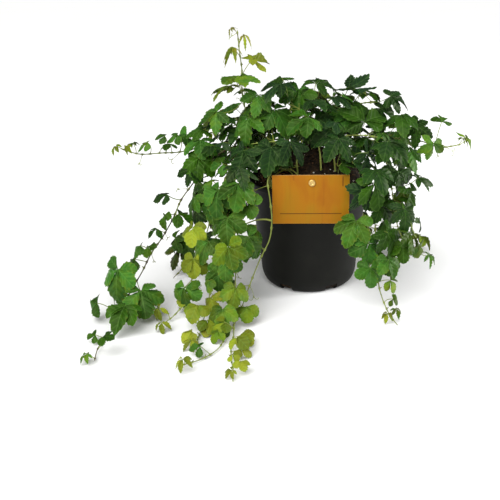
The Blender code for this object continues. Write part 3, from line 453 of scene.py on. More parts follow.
def perlite():
    """Puffed white grains, a little dirty."""
    material, tree, shader = new_material("perlite")
    place = place_of(tree)
    dirt = in_range(tree, noise_at(tree, place, 700, 4), 0.5, 0.75)
    set_finish(tree, shader, mixed(tree, dirt, (0.52, 0.50, 0.44), (0.22, 0.16, 0.10)), 0.8)
    set_bump(tree, shader, noise_at(tree, place, 3000, 3), 0.6, 0.3)
    return material


def dry_scraps():
    """Dry brown scraps of leaf and bark."""
    material, tree, shader = new_material("dry scraps")
    place = place_of(tree)
    colour = ramp(tree, noise_at(tree, place, 300, 5), (
        (0.35, (0.055, 0.022, 0.008)), (0.55, (0.22, 0.09, 0.025)), (0.75, (0.42, 0.22, 0.07)),
    ))
    set_finish(tree, shader, colour, 0.75)
    set_bump(tree, shader, noise_at(tree, place, 1500, 4), 0.5, 0.3)
    return material


soil = make_soil()
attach(soil, "root")
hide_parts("soil")


# The card: a thin stiff card faced with a golden-brown wood print, cut square, with its pale core
# showing at the edges. It hangs against the rim on the stud.
CARD_WIDTH = 84.0
CARD_HEIGHT = 55.5
CARD_THICK = 0.8
CARD_MIDDLE_X = 2.4
CARD_TOP = 148.6
CARD_BEVEL = 0.12
STUD_X = 3.8
STUD_HEIGHT = 139.8
STUD_RADIUS = 1.5
CARD_MIDDLE = Vector((CARD_MIDDLE_X, -POT_RIM_RADIUS - GAP - CARD_THICK / 2, CARD_TOP - CARD_HEIGHT / 2))
# The printed rule: how far down the card it is, how far it reaches from the middle, as shares of the
# card's height and width, and its thickness.
RULE_DOWN = 0.79
RULE_REACH = 0.4
RULE_THICK = 0.75
# Each dark streak of the grain: how far across and up from the card's middle, how tall, how strong.
STREAKS = ((0.415, 0.37, 0.11, 0.8), (-0.22, 0.44, 0.05, 0.35), (0.17, 0.15, 0.3, 0.12))
STREAK_EDGES = (1.1, 0.3)
FACE_ON = 0.9
HOLE_HALF_DEEP = 2.0
ROD_SIDES = 40


def away_from(tree, value, middle):
    """How far a value is from the middle one, to either side."""
    return reckon(tree, "ABSOLUTE", reckon(tree, "SUBTRACT", value, middle), 0.0)


def wood_print():
    """Golden-brown wood print with faint upright grain, a darker streak and one plain printed rule."""
    material, tree, shader = new_material("wood print")
    place = place_of(tree)
    cloud = noise_at(tree, stretched(tree, place, (1.0, 1.0, 0.45)), 38, 3, 0.6)
    grain = noise_at(tree, stretched(tree, place, (1.0, 1.0, 0.035)), 420, 4, 0.3)
    colour = ramp(tree, cloud, (
        (0.3, (0.32, 0.100, 0.003)), (0.5, (0.36, 0.140, 0.003)), (0.68, (0.32, 0.155, 0.004)),
    ))
    colour = mixed(tree, in_range(tree, grain, 0.5, 0.8, 0.0, 0.2), colour, (0.22, 0.075, 0.004))
    parts = add_node(tree, "SeparateXYZ", {0: place})
    across, high = parts.outputs["X"], parts.outputs["Z"]
    outer, inner = STREAK_EDGES
    for where, top, tall, strong in STREAKS:
        near = in_range(tree, away_from(tree, across, CARD_WIDTH * where * MM), outer * MM, inner * MM)
        off, reach = away_from(tree, high, CARD_HEIGHT * top * MM), CARD_HEIGHT * tall * MM
        mask = reckon(tree, "MULTIPLY", near, in_range(tree, off, reach, reach * 0.8))
        colour = mixed(tree, reckon(tree, "MULTIPLY", mask, strong), colour, (0.12, 0.035, 0.004))
    off = away_from(tree, high, CARD_HEIGHT * (0.5 - RULE_DOWN) * MM)
    near = in_range(tree, off, RULE_THICK * 0.75 * MM, RULE_THICK * 0.4 * MM)
    reach = CARD_WIDTH * RULE_REACH * MM
    ends = in_range(tree, away_from(tree, across, 0.0), CARD_WIDTH * (RULE_REACH + 0.005) * MM, reach)
    rule = reckon(tree, "MULTIPLY", reckon(tree, "MULTIPLY", near, ends), 0.95)
    colour = mixed(tree, rule, colour, (0.075, 0.022, 0.003))
    set_finish(tree, shader, colour, 0.48, Specular_IOR_Level=0.15)
    set_bump(tree, shader, grain, 0.08, 0.2)
    return material


def card_core():
    """The pale cut edge of the card."""
    material, tree, shader = new_material("card core")
    fibre = noise_at(tree, place_of(tree), 900, 3)
    set_finish(tree, shader, mixed(tree, fibre, (0.60, 0.33, 0.10), (0.80, 0.55, 0.26)), 0.8)
    return material


def rod_object(name, profile, sides):
    """A profile of (radius, depth) points turned about a line to the front, from its back forward."""
    points, faces = turned_shape(profile, sides)
    return new_object(name, [Vector((point.x, -point.z, point.y)) for point in points], faces)


card = box_object("wood_look_card", (CARD_WIDTH, CARD_THICK, CARD_HEIGHT), (0, 0, 0), CARD_BEVEL)
hole_radius, deep = STUD_RADIUS + GAP, HOLE_HALF_DEEP
hole_profile = [(0, -deep), (hole_radius, -deep), (hole_radius, deep), (0, deep)]
hole = rod_object("card_hole", hole_profile, ROD_SIDES)
hole.location = [value * MM for value in (STUD_X - CARD_MIDDLE.x, 0, STUD_HEIGHT - CARD_MIDDLE.z)]
combine(card, [hole], "DIFFERENCE")
card.location = CARD_MIDDLE * MM
for material in (wood_print(), card_core()):
    card.data.materials.append(material)
for face in card.data.polygons:
    face.material_index = 0 if abs(face.normal.y) > FACE_ON else 1
bpy.context.view_layer.update()
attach(card, "root")
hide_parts("label_card")


# The stake and its stud: pale gold plastic in one piece. The flat strip goes down into the soil just
# inside the rim, and the stud's dished head holds the card from the front.
STUD_HEAD_RADIUS = 3.8
STUD_HEAD_THICK = 1.4
STAKE_WIDTH = 9.0
STAKE_THICK = 1.2
STAKE_ROUND = 0.3
STAKE_FOOT = (-57.0, 96.0)
STAKE_TOP = (-67.2, 146.0)
STUD_HEAD_SIDES = 64
STUD_HEAD_PROFILE = (
    (0, 0), (0.94, 0), (1.0, 0.12), (1.0, 0.4), (0.95, 0.66), (0.84, 0.88), (0.68, 1.0), (0.54, 0.97),
    (0.42, 0.8), (0.3, 0.62), (0.15, 0.55), (0, 0.53),
)


def pale_gold():
    """Shiny pale gold plastic with a faint cloudiness."""
    material, tree, shader = new_material("pale gold")
    cloud = noise_at(tree, place_of(tree), 160, 3)
    colour = mixed(tree, cloud, (0.50, 0.30, 0.07), (0.74, 0.52, 0.19))
    set_finish(tree, shader, colour, 0.33, Metallic=0.6)
    return material


(foot_y, foot_z), (top_y, top_z) = STAKE_FOOT, STAKE_TOP
strip_size = (STAKE_WIDTH, STAKE_THICK, math.hypot(top_y - foot_y, top_z - foot_z))
strip_middle = (STUD_X, (foot_y + top_y) / 2, (foot_z + top_z) / 2)
stake = box_object("gold_stake", strip_size, strip_middle, STAKE_ROUND)
stake.rotation_euler.x = math.atan2(foot_y - top_y, top_z - foot_z)
strip_y = foot_y + (top_y - foot_y) * (STUD_HEIGHT - foot_z) / (top_z - foot_z)
head_back = -POT_RIM_RADIUS - 2 * GAP - CARD_THICK
shank_long = strip_y - head_back + STUD_HEAD_THICK / 2
shank_profile = [(0, 0), (STUD_RADIUS, 0), (STUD_RADIUS, shank_long), (0, shank_long)]
shank = rod_object("shank", shank_profile, ROD_SIDES)
shank.location = [value * MM for value in (STUD_X, strip_y, STUD_HEIGHT)]
head_profile = [(out * STUD_HEAD_RADIUS, deep * STUD_HEAD_THICK) for out, deep in STUD_HEAD_PROFILE]
head = rod_object("head", head_profile, STUD_HEAD_SIDES)
head.location = [value * MM for value in (STUD_X, head_back, STUD_HEIGHT)]
combine(stake, [shank, head], "UNION")
stake.data.materials.append(pale_gold())
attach(stake, "root")
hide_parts("label_stake")


# The plant's frame: where each stem runs and where its leaves stand. The stems come up out of the
# root ball. Some stand, some reach out, and most trail over the rim. No leaf cuts through another.
ROOT_DEPTH = 9.0
# The stems: radius at the soil and at the tip, and how far apart the points along them are.
STEM_RADIUS = 1.25
TIP_RADIUS = 0.75
STEM_STEP = 23.0
STEM_LOWEST = 1.7
STEM_SWAY = 1.2
STRAIGHT_ABOVE = 3.0
CURVE_PARTS = 12

# The leaves: for each leaflet its direction in degrees from the middle one, and its share of the reach.
FIVE_LEAFLETS = ((-112, 0.64), (-55, 0.88), (0, 1.0), (55, 0.88), (112, 0.64))
THREE_LEAFLETS = ((-74, 0.86), (0, 1.0), (74, 0.86))
# Points of one leaflet's edge, as shares of its length along and across its rib: a toothed one of a
# leaf that shows close up, a plain one, and the small blunt ones by the stalk.
TOOTHED_EDGE = ((0.6, 0.3), (0.87, 0.23), (1.0, 0.0), (0.87, -0.23), (0.6, -0.3))
PLAIN_EDGE = ((0.7, 0.33), (1.0, 0.0), (0.7, -0.33))
BLUNT_EDGE = ((0.84, 0.3), (0.94, -0.22))
BLUNT_BELOW = 0.7
THREE_WIDER = 1.2
CUT_SHARE = 0.2
HEEL_SHARE = 0.1
TOOTHED_FROM_REACH = 31.0
FIVE_FROM_REACH = 23.0
STALK_STEPS = 2
BENT_FROM_REACH = 24.0
BLADE_THICK = 0.7
STALK_SHARE = 0.62
SHORTEST_SPOKE = 0.1
CLEAR = 0.4
FLOOR_CLEAR = 0.4
TRIES = 40
EASE_ASIDE = 8.0
EASE_FORWARD = 24.0
EASE_TURN = 28.0
TURN_LUCK = 20.0
STEEPEST = 88.0

# A blade's tips droop by so much of its reach, and its leaflets fold by so much: the middle value and
# how far luck moves it. The stalk comes up from below and behind the blade.
ARCH, ARCH_LUCK = 0.33, 0.12
FOLD, FOLD_LUCK = 0.22, 0.08
KNEE_BELOW, KNEE_BEHIND = 0.45, 0.3
STALK_PER_REACH = 0.95
# A stalk may start at each quarter step along its stem, and each step towards the tip costs so much.
FOOT_STEPS, FOOT_BIAS = 4, 0.02
# How a leaf that grows by the rule leans: to its own side, to the light, along its stem, and by luck.
LEAN_ASIDE, LEAN_LIGHT, LEAN_ALONG = 0.8, 0.8, 0.35
LEAN_LUCK, LEAN_EASE = 0.35, 0.5
REACH_LUCK, STALK_LUCK, SHRINK_EASE = 0.1, 0.25, 0.3
# The light's pull, the blade's facing and its middle leaflet's way, each as the value beside the soil
# and what is added to it where the stem hangs. It hangs by this height, fully so that much lower.
LIGHT_UP, LIGHT_OUT = (1.1, -0.6), (0.3, 0.6)
FACE_UP, FACE_OUT, FACE_LUCK = (1.0, -0.45), (0.35, 0.5), 0.6
POINT_OUT, POINT_DOWN = 0.4, 0.7
HANGS_FROM, HANGS_OVER = POT_HEIGHT + 30.0, 60.0
STEEP_STEM = 0.75
# On the level surface a leaf's centre stays so high, and so much of its reach higher.
LYING_BELOW = 30.0
LYING_HEIGHT, LYING_PER_REACH = 5.0, 0.25
FILL_NEAREST, SPACING_LUCK = 0.45, 0.15
# The seeds: one for each stem's line, its listed leaves and its leaves placed by the rule.
LINE_SEED, PLACED_SEED, FILL_SEED = 100, 200, 300

# Each stem: where it leaves the soil, the leaves that fill it by rule, and the points that it passes.
# fill = first leaf, spacing, reach near the soil, reach near the tip, stalk near the soil, stalk near
# the tip. leaves = listed places: x, y, z of the blade's centre, its reach, the side that it
# faces (0 is the front, 90 the right), how far up it faces, where its middle leaflet points (0 is
# downhill, 90 is to its own right), all in degrees, and how far it droops where that is unusual.
STEMS = {
    "stem_tall": {
        "root": (-30, 4), "fill": (30, 30, 28, 18, 24, 14),
        "route": (
            (-38, 2, 168), (-56, -1, 178), (-69, -3, 196), (-74, -6, 222), (-75, -8, 250),
            (-77, -8, 276), (-78, -8, 297),
        ),
        "leaves": (
            (-84, -9, 301, 9, -60, 50, -40, 0.8), (-71, -10, 291, 11, 40, 72, 30, 0.9),
            (-82, -14, 278, 15, -25, 70, -30, 0.9), (-62, -12, 264, 24, 40, 84, 60, 0.1),
            (-76, -24, 249, 29, 5, 86, 20, 0.12), (-88, -20, 237, 26, -50, 62, -30),
            (-56, -26, 228, 27, 15, 62, -20), (-102, -28, 210, 29, -40, 64, -30),
            (-66, -34, 204, 28, -10, 62, 10),
        ),
    },
    "shoot_left": {
        "root": (-44, 10), "fill": (26, 28, 30, 16, 26, 14),
        "route": (
            (-50, 9, 160), (-72, 2, 172), (-98, -8, 171), (-124, -18, 167), (-150, -25, 165),
            (-180, -30, 164), (-205, -33, 165), (-213, -34, 171),
        ),
        "leaves": (
            (-204, -36, 173, 9, -60, 60, 0), (-181, -34, 177, 14, -30, 62, -60),
            (-163, -26, 183, 12, 10, 70, -90), (-148, -26, 184, 14, -20, 60, -30),
            (-138, -22, 186, 15, -10, 55, -50), (-120, -24, 194, 22, -20, 66, -60),
            (-96, -18, 204, 26, -25, 60, -35), (-121, -35, 180, 26, 0, 70, 0),
        ),
    },
    "trail_far_left": {
        "root": (-46, -10), "fill": (22, 40, 28, 15, 24, 16),
        "route": (
            (-52, -12, 158), (-70, -20, 169), (-92, -32, 169), (-112, -43, 157), (-134, -55, 130),
            (-147, -62, 108), (-163, -72, 80), (-178, -82, 58), (-192, -92, 36), (-204, -104, 14),
            (-212, -122, 3), (-208, -157, 3), (-215, -190, 3), (-211, -222, 3),
        ),
        "leaves": (
            (-120, -52, 165, 25, 0, 40, 0), (-138, -66, 156, 20, -20, 40, -10),
            (-158, -66, 126, 17, -30, 75, -20), (-144, -76, 106, 18, 20, 70, 40),
            (-168, -84, 92, 13, -20, 60, -60), (-186, -90, 74, 14, -50, 35, 0),
            (-209, -108, 53, 32, -20, 34, -20), (-183, -120, 33, 30, 10, 42, 20),
            (-230, -130, 22, 17, -40, 60, -30), (-192, -146, 15, 27, 10, 66, -30),
        ),
    },
    "trail_left_outer": {
        "root": (-38, -26), "fill": (20, 30, 30, 16, 26, 14),
        "route": (
            (-44, -30, 156), (-60, -43, 163), (-78, -56, 160), (-93, -67, 143), (-103, -77, 117),
            (-112, -87, 84), (-122, -96, 56), (-131, -105, 32), (-140, -116, 12), (-150, -130, 4),
            (-160, -146, 3),
        ),
        "leaves": (
            (-96, -90, 138, 26, -20, 38, 0), (-105, -88, 122, 23, -30, 35, 0),
            (-128, -92, 96, 22, -40, 40, -10), (-124, -110, 66, 21, -10, 35, 20),
            (-134, -122, 38, 23, -10, 40, 0), (-143, -118, 36, 18, -40, 45, -20),
            (-162, -128, 16, 14, -30, 60, -10),
        ),
    },
    "trail_left_front": {
        "root": (-30, -38), "fill": (20, 30, 30, 10, 26, 11),
        "route": (
            (-36, -44, 154), (-51, -57, 158), (-65, -71, 146), (-73, -84, 120), (-76, -95, 92),
            (-78, -108, 65), (-79, -124, 41), (-78, -142, 19), (-78, -164, 5), (-77, -200, 3),
            (-73, -235, 3), (-70, -262, 3),
        ),
        "leaves": (
            (-76, -96, 141, 27, -5, 32, 0), (-86, -106, 112, 28, -10, 30, 10),
            (-64, -110, 92, 27, 15, 35, 20), (-88, -124, 72, 24, -10, 38, -10),
            (-84, -128, 87, 26, 0, 40, 0), (-77, -87, 158, 25, -5, 55, 0),
            (-63, -110, 77, 24, 0, 25, 0), (-76, -134, 44, 22, 10, 42, 0),
            (-90, -152, 26, 21, -15, 52, -10), (-74, -222, 11, 9, 0, 60, 60),
            (-72, -250, 10, 9, 0, 60, -30),
        ),
    },
    "trail_left_inner": {
        "root": (-41, -39), "fill": (20, 30, 30, 12, 26, 12),
        "route": (
            (-48, -45, 149), (-66, -57, 156), (-84, -69, 138), (-91, -80, 110), (-96, -92, 80),
            (-101, -104, 54), (-107, -118, 30), (-112, -134, 10), (-115, -152, 3), (-115, -178, 3),
            (-112, -200, 3),
        ),
        "leaves": (
            (-84, -98, 124, 26, -10, 32, 0), (-108, -104, 84, 23, -25, 35, -15),
            (-96, -122, 58, 22, 0, 40, 15), (-118, -142, 26, 18, -20, 50, -20),
            (-104, -158, 18, 17, 10, 58, 30), (-109, -65, 132, 24, 0, 25, -35),
            (-118, -190, 10, 13, -10, 60, -20),
        ),
    },
    "trail_beside_card": {
        "root": (-19, -47), "fill": (170, 50, 20, 12, 18, 10),
        "route": (
            (-28, -54, 151), (-42, -65, 154), (-45, -77, 142), (-42, -83, 122), (-41, -86, 102),
            (-42, -90, 84), (-51, -96, 65), (-59, -106, 48), (-69, -120, 24), (-77, -142, 6),
            (-84, -166, 3), (-92, -196, 3), (-106, -217, 3), (-122, -229, 3),
        ),
        "leaves": (
            (-66, -94, 80, 21, -30, 35, -20), (-66, -136, 22, 17, 20, 42, 10),
            (-92, -176, 12, 12, -20, 60, -30),
        ),
    },
    "trail_behind_left": {
        "root": (-48, 24), "fill": (20, 42, 31, 24, 26, 18),
        "route": (
            (-57, 28, 152), (-80, 31, 159), (-103, 28, 142), (-120, 24, 113), (-133, 19, 84),
            (-142, 14, 57), (-148, 6, 32), (-156, -6, 10), (-166, -18, 4),
        ),
        "leaves": (
            (-136, 2, 84, 22, -30, 30, 0), (-147, -12, 53, 28, -20, 35, 10),
            (-128, -4, 56, 22, 0, 30, 10), (-158, 0, 37, 27, 0, 25, -35),
            (-161, -8, 52, 22, -45, 40, 0),
        ),
    },
    "trail_right_front": {
        "root": (34, -36), "fill": (20, 32, 31, 10, 26, 12),
        "route": (
            (40, -42, 154), (51, -54, 157), (62, -67, 141), (69, -77, 112), (72, -84, 84),
            (72, -92, 58), (76, -102, 36), (82, -112, 17), (88, -124, 5), (94, -140, 3),
        ),
        "leaves": (
            (70, -86, 143, 30, 20, 40, 0), (82, -90, 122, 28, 30, 30, 10),
            (50, -92, 102, 30, 5, 48, -20), (84, -98, 92, 27, 25, 40, 10),
            (64, -104, 82, 25, 10, 35, 0), (66, -110, 56, 22, -5, 42, -20),
            (71, -80, 154, 27, 25, 55, -35), (63, -66, 171, 29, 25, 25, 35),
            (85, -87, 60, 22, 0, 40, 0), (84, -112, 60, 20, 30, 40, 20), (90, -120, 24, 9, 30, 50, 60),
            (84, -130, 12, 9, 0, 60, 0), (94, -130, 14, 9, 25, 55, 0), (69, -86, 134, 26, 25, 25, -35),
        ),
    },
    "trail_right": {
        "root": (46, -16), "fill": (20, 26, 31, 16, 26, 14),
        "route": (
            (53, -20, 157), (71, -30, 162), (90, -41, 151), (103, -49, 127), (111, -54, 100),
            (118, -58, 76), (126, -60, 58),
        ),
        "leaves": (
            (96, -62, 150, 29, 40, 38, 10), (112, -64, 128, 28, 45, 32, 0),
            (116, -52, 132, 21, 10, 84, 80), (100, -80, 108, 24, 20, 30, 0),
            (109, -88, 89, 24, 45, 55, 0), (122, -72, 68, 16, 40, 35, 20),
            (134, -62, 52, 14, 50, 55, 40), (104, -90, 76, 20, 10, 35, -10),
        ),
    },
    "shoot_right": {
        "root": (44, 6), "fill": (24, 30, 30, 16, 28, 14),
        "route": (
            (51, 6, 162), (68, 3, 173), (88, -3, 174), (109, -9, 173), (131, -14, 170), (152, -17, 164),
            (170, -18, 168),
        ),
        "leaves": (
            (138, -28, 172, 21, 20, 20, 10), (147, -20, 194, 16, 10, 40, 170),
            (176, -20, 174, 17, 40, 40, 90), (118, -20, 190, 24, 20, 56, 60),
            (102, -20, 200, 26, 10, 64, -10), (112, -26, 166, 28, 30, 40, 10),
        ),
    },
    "canopy_right": {
        "root": (30, 10), "fill": (20, 16, 30, 25, 34, 26),
        "route": (
            (33, 9, 176), (38, 5, 192), (46, 0, 205), (58, -5, 213), (74, -8, 216),
        ),
        "leaves": (
            (45, -8, 231, 36, -30, 74, 70, -0.45), (80, -8, 208, 28, 30, 68, 50),
            (92, -2, 220, 24, 10, 72, 90), (62, -38, 200, 36, 8, 32, 170),
            (30, -22, 222, 25, -10, 70, 120), (60, 12, 222, 27, 120, 65, 0),
            (10, -6, 235, 27, 0, 62, 120),
        ),
    },
    "canopy_middle": {
        "root": (4, -6), "fill": (18, 14, 30, 25, 34, 26),
        "route": (
            (3, -8, 182), (-2, -10, 198), (-11, -12, 209), (-24, -13, 216),
        ),
        "leaves": (
            (-32, -16, 234, 27, -20, 70, -60), (4, -26, 222, 28, 0, 70, 100),
            (0, -46, 206, 29, 5, 66, -60), (-12, 2, 232, 28, 10, 58, 0), (6, -18, 198, 29, 0, 40, 35),
        ),
    },
    "canopy_front_right": {
        "root": (20, -20), "fill": (20, 26, 30, 26, 30, 26),
        "route": (
            (24, -26, 170), (34, -34, 180), (48, -40, 185), (64, -44, 186), (82, -44, 182),
        ),
        "leaves": (
            (32, -60, 186, 29, 10, 58, -30), (84, -62, 182, 29, 25, 58, 20),
            (36, -66, 160, 17, 0, 50, 80), (24, -42, 192, 29, -25, 40, -35),
        ),
    },
    "canopy_front_left": {
        "root": (-14, -22), "fill": (20, 26, 30, 26, 30, 26),
        "route": (
            (-18, -28, 168), (-29, -37, 178), (-45, -44, 180), (-63, -48, 178),
        ),
        "leaves": (
            (-40, -66, 178, 30, -5, 42, 0), (-74, -66, 176, 31, -20, 54, -10),
            (-20, -62, 184, 26, 5, 62, 30), (-36, -15, 205, 28, 0, 64, 0),
        ),
    },
    "canopy_left_back": {
        "root": (-22, 26), "fill": (20, 20, 32, 25, 32, 24),
        "route": (
            (-26, 31, 170), (-42, 39, 184), (-66, 44, 187), (-92, 43, 179), (-114, 38, 166),
        ),
        "leaves": (),
    },
    "canopy_back": {
        "root": (6, 24), "fill": (18, 12, 32, 26, 36, 26),
        "route": (
            (8, 28, 178), (13, 36, 194), (20, 43, 205), (30, 50, 211),
        ),
        "leaves": (
            (12, 26, 222, 28, 150, 78, 20), (34, 30, 220, 27, 60, 74, -20),
        ),
    },
    "trail_back_left": {
        "root": (-12, 44), "fill": (20, 38, 32, 20, 28, 18),
        "route": (
            (-16, 51, 158), (-24, 65, 160), (-31, 82, 142), (-35, 93, 113), (-38, 101, 83),
            (-42, 111, 51), (-48, 125, 21), (-57, 143, 4), (-66, 170, 3),
        ),
        "leaves": (),
    },
    "trail_back_right": {
        "root": (26, 38), "fill": (20, 38, 32, 20, 28, 18),
        "route": (
            (31, 45, 158), (41, 58, 159), (50, 73, 141), (57, 83, 112), (63, 92, 81), (71, 102, 49),
            (81, 115, 20), (94, 131, 4), (112, 148, 3),
        ),
        "leaves": (),
    },
    "trail_right_back": {
        "root": (46, 22), "fill": (20, 38, 32, 20, 28, 18),
        "route": (
            (54, 28, 154), (72, 42, 161), (88, 57, 146), (99, 68, 117), (106, 76, 88), (112, 84, 58),
            (119, 92, 30), (130, 100, 8), (146, 104, 3),
        ),
        "leaves": (),
    },
}


def direction(azimuth, elevation):
    """A unit vector: azimuth 0 is the front and 90 the right, elevation 90 is straight up."""
    turn, lift = math.radians(azimuth), math.radians(elevation)
    level = Vector((math.sin(turn), -math.cos(turn), 0))
    return level * math.cos(lift) + UP * math.sin(lift)


def curve_spans(points):
    """The four points that shape each span of a smooth curve through the given ones."""
    ends = [points[0] * 2 - points[1]] + points + [points[-1] * 2 - points[-2]]
    return list(zip(ends, ends[1:], ends[2:], ends[3:]))


def span_point(a, b, c, d, t):
    """The curve's point at that share of the way from b to c."""
    bend = (2 * a - 5 * b + 4 * c - d) * t + (3 * b - a - 3 * c + d) * t * t
    return b + 0.5 * t * ((c - a) + bend)


def line_length(line):
    return sum((b - a).length for a, b in zip(line, line[1:]))


def held(value):
    """The value, held between 0 and 1."""
    return min(1.0, max(0.0, value))


def smooth_route(points, step):
    """Points about one step apart along a smooth curve through the given ones, with both ends."""
    fine = []
    for span in curve_spans(points):
        fine.extend(span_point(*span, part / CURVE_PARTS) for part in range(CURVE_PARTS))
    fine.append(points[-1])
    lengths = [0.0]
    for a, b in zip(fine, fine[1:]):
        lengths.append(lengths[-1] + (b - a).length)
    count = max(2, round(lengths[-1] / step))
    wanted = [lengths[-1] * index / count for index in range(count + 1)]
    found, at = [], 0
    for length in wanted:
        while at < len(fine) - 2 and lengths[at + 1] < length:
            at += 1
        share = (length - lengths[at]) / (lengths[at + 1] - lengths[at])
        found.append(fine[at].lerp(fine[at + 1], min(1.0, share)))
    return found


def stem_points(stem, draw):
    """The stem's own line: straight up out of its hole, then swaying a little about its route."""
    x, y = stem["root"]
    ground = soil_height(x, y)
    start = [Vector((x, y, ground - ROOT_DEPTH)), Vector((x, y, ground + STRAIGHT_ABOVE))]
    route = smooth_route(start[1:] + [Vector(point) for point in stem["route"]], STEM_STEP)
    line = [start[0], route[0]]
    for point in route[1:-1]:
        sway = Vector([draw.uniform(-STEM_SWAY, STEM_SWAY) for _ in range(3)])
        line.append(point + sway)
        line[-1].z = max(line[-1].z, STEM_LOWEST)
    return line + [route[-1]]


def stem_radius(share):
    return STEM_RADIUS + (TIP_RADIUS - STEM_RADIUS) * share


class Leaf:
    """A palmate blade on its stalk, with its place, its facing and its shape."""

    def __init__(self, foot, centre, normal, forward, reach, thick, arch, fold):
        self.foot, self.centre, self.reach, self.toothed = foot, centre, reach, False
        self.normal = normal.normalized()
        self.forward = (forward - self.normal * forward.dot(self.normal)).normalized()
        self.across = self.normal.cross(self.forward)
        self.thick, self.arch, self.fold = thick, arch, fold
        self.leaflets = FIVE_LEAFLETS if reach >= FIVE_FROM_REACH else THREE_LEAFLETS

    def point(self, turn, length, along, aside, lift=0.0):
        """A point of the leaflet that turns so far: shares along and across its rib, and a lift."""
        angle = math.radians(turn)
        rib = self.forward * math.cos(angle) + self.across * math.sin(angle)
        side = self.across * math.cos(angle) - self.forward * math.sin(angle)
        size = self.reach * length
        height = -self.arch * self.reach * (along * length) ** 2 + self.fold * abs(aside) * size
        return self.centre + rib * along * size + side * aside * size + self.normal * (height + lift)

    def edge(self):
        """The blade's outline once round, as the arguments that point takes."""
        wide = THREE_WIDER if self.leaflets is THREE_LEAFLETS else 1.0
        found = [(180, 1.0, HEEL_SHARE, 0.0)]
        for place, (turn, length) in enumerate(self.leaflets):
            if place:
                found.append(((turn + self.leaflets[place - 1][0]) / 2, 1.0, CUT_SHARE, 0.0))
            shape = TOOTHED_EDGE if self.toothed else PLAIN_EDGE
            for along, aside in BLUNT_EDGE if length < BLUNT_BELOW else shape:
                found.append((turn, length, along, -aside * wide))
        return found

    def stalk(self, end, steps):
        """Points of the stalk, which leaves the stem and comes up under the blade, to its end."""
        span = (self.centre - self.foot).length
        knee = self.centre - (self.normal * KNEE_BELOW + self.forward * KNEE_BEHIND) * span
        found = []
        for step in range(steps + 1):
            t = step / steps
            found.append(self.foot * (1 - t) ** 2 + knee * 2 * t * (1 - t) + end * t * t)
        return found


def leaf_shape(leaf, grow=0.0):
    """The leaf's points and faces: a fan above, one below that opens into the stalk, and the edge.

    With grow the blade and the stalk are that much larger all round, to test for room.
    """
    edge = leaf.edge()
    count = len(edge)
    half = BLADE_THICK / 2 + grow
    widen = 1 + grow / leaf.reach
    points = []
    for lift in (half, -half):
        for turn, length, along, aside in edge:
            points.append(leaf.point(turn, length * widen, along, aside, lift))
    points.append(leaf.centre + leaf.normal * half)
    top = 2 * count
    faces = []
    for index in range(count):
        after = (index + 1) % count
        faces.append((top, index, after))
        faces.append((index, count + index, count + after, after))
    line = leaf.stalk(leaf.centre, STALK_STEPS if leaf.reach >= BENT_FROM_REACH else 1)
    rings = []
    for place, point in enumerate(line):
        last = place == len(line) - 1
        along = leaf.normal if last else (line[place + 1] - point).normalized()
        first = leaf.forward - along * leaf.forward.dot(along)
        first = first.normalized() if first.length > SHORTEST_SPOKE else leaf.across
        second = along.cross(first)
        middle = point - leaf.normal * half if last else point
        rings.append(len(points))
        for third in range(3):
            turn = math.radians(120 * third)
            spoke = first * math.cos(turn) + second * math.sin(turn)
            points.append(middle + spoke * (leaf.thick + grow))
    for ring, following in zip(rings, rings[1:]):
        for third in range(3):
            beside = (third + 1) % 3
            faces.append((ring + third, ring + beside, following + beside, following + third))
    faces.append((rings[0] + 2, rings[0] + 1, rings[0]))
    faces.extend(underside(edge, count, rings[-1]))
    return points, faces


def underside(edge, count, ring):
    """Triangles between the lower edge and the stalk's three corners, at 0, 120 and 240 degrees."""
    turns = []
    for turn, length, along, aside in edge:
        turns.append((turn + math.degrees(math.atan2(aside, along))) % 360)
    corners = [min(range(3), key=lambda c: abs((turn - 120 * c + 180) % 360 - 180)) for turn in turns]
    faces = []
    for index in range(count):
        after = (index + 1) % count
        here, there = corners[index], corners[after]
        faces.append((count + after, count + index, ring + here))
        if here != there:
            faces.append((count + after, ring + here, ring + there))
    return faces


def tree_of(points, faces):
    return BVHTree.FromPolygons([tuple(point) for point in points], faces)


def tube_shape(line, radii):
    """A four-sided tube round a line, as points and faces, to test for room."""
    points, faces = [], []
    for place, point in enumerate(line):
        before, after = line[max(0, place - 1)], line[min(len(line) - 1, place + 1)]
        along = (after - before).normalized()
        first = along.orthogonal().normalized()
        second = along.cross(first)
        for spoke in (first, second, -first, -second):
            points.append(point + spoke * radii[place])
    for ring in range(0, 4 * (len(line) - 1), 4):
        for side in range(4):
            beside = (side + 1) % 4
            faces.append((ring + side, ring + beside, ring + 4 + beside, ring + 4 + side))
    return points, faces


def card_corners():
    """The lowest and highest corners of the room that the card, its stud and stake fill."""
    front = -POT_RIM_RADIUS - GAP - CARD_THICK - STUD_HEAD_THICK - GAP
    low = Vector((CARD_MIDDLE_X - CARD_WIDTH / 2, front, CARD_TOP - CARD_HEIGHT))
    return low, Vector((CARD_MIDDLE_X + CARD_WIDTH / 2, STAKE_FOOT[0], CARD_TOP))


def box_shape(low, high):
    ends = [(low[axis], high[axis]) for axis in range(3)]
    points = [Vector((x, y, z)) for x in ends[0] for y in ends[1] for z in ends[2]]
    faces = [(0, 1, 3, 2), (4, 6, 7, 5), (0, 4, 5, 1), (2, 3, 7, 6), (0, 2, 6, 4), (1, 5, 7, 3)]
    return points, faces


def corners_of(points):
    """The lowest and highest corners of the room that the points fill."""
    return [Vector([pick(point[axis] for point in points) for axis in range(3)]) for pick in (min, max)]


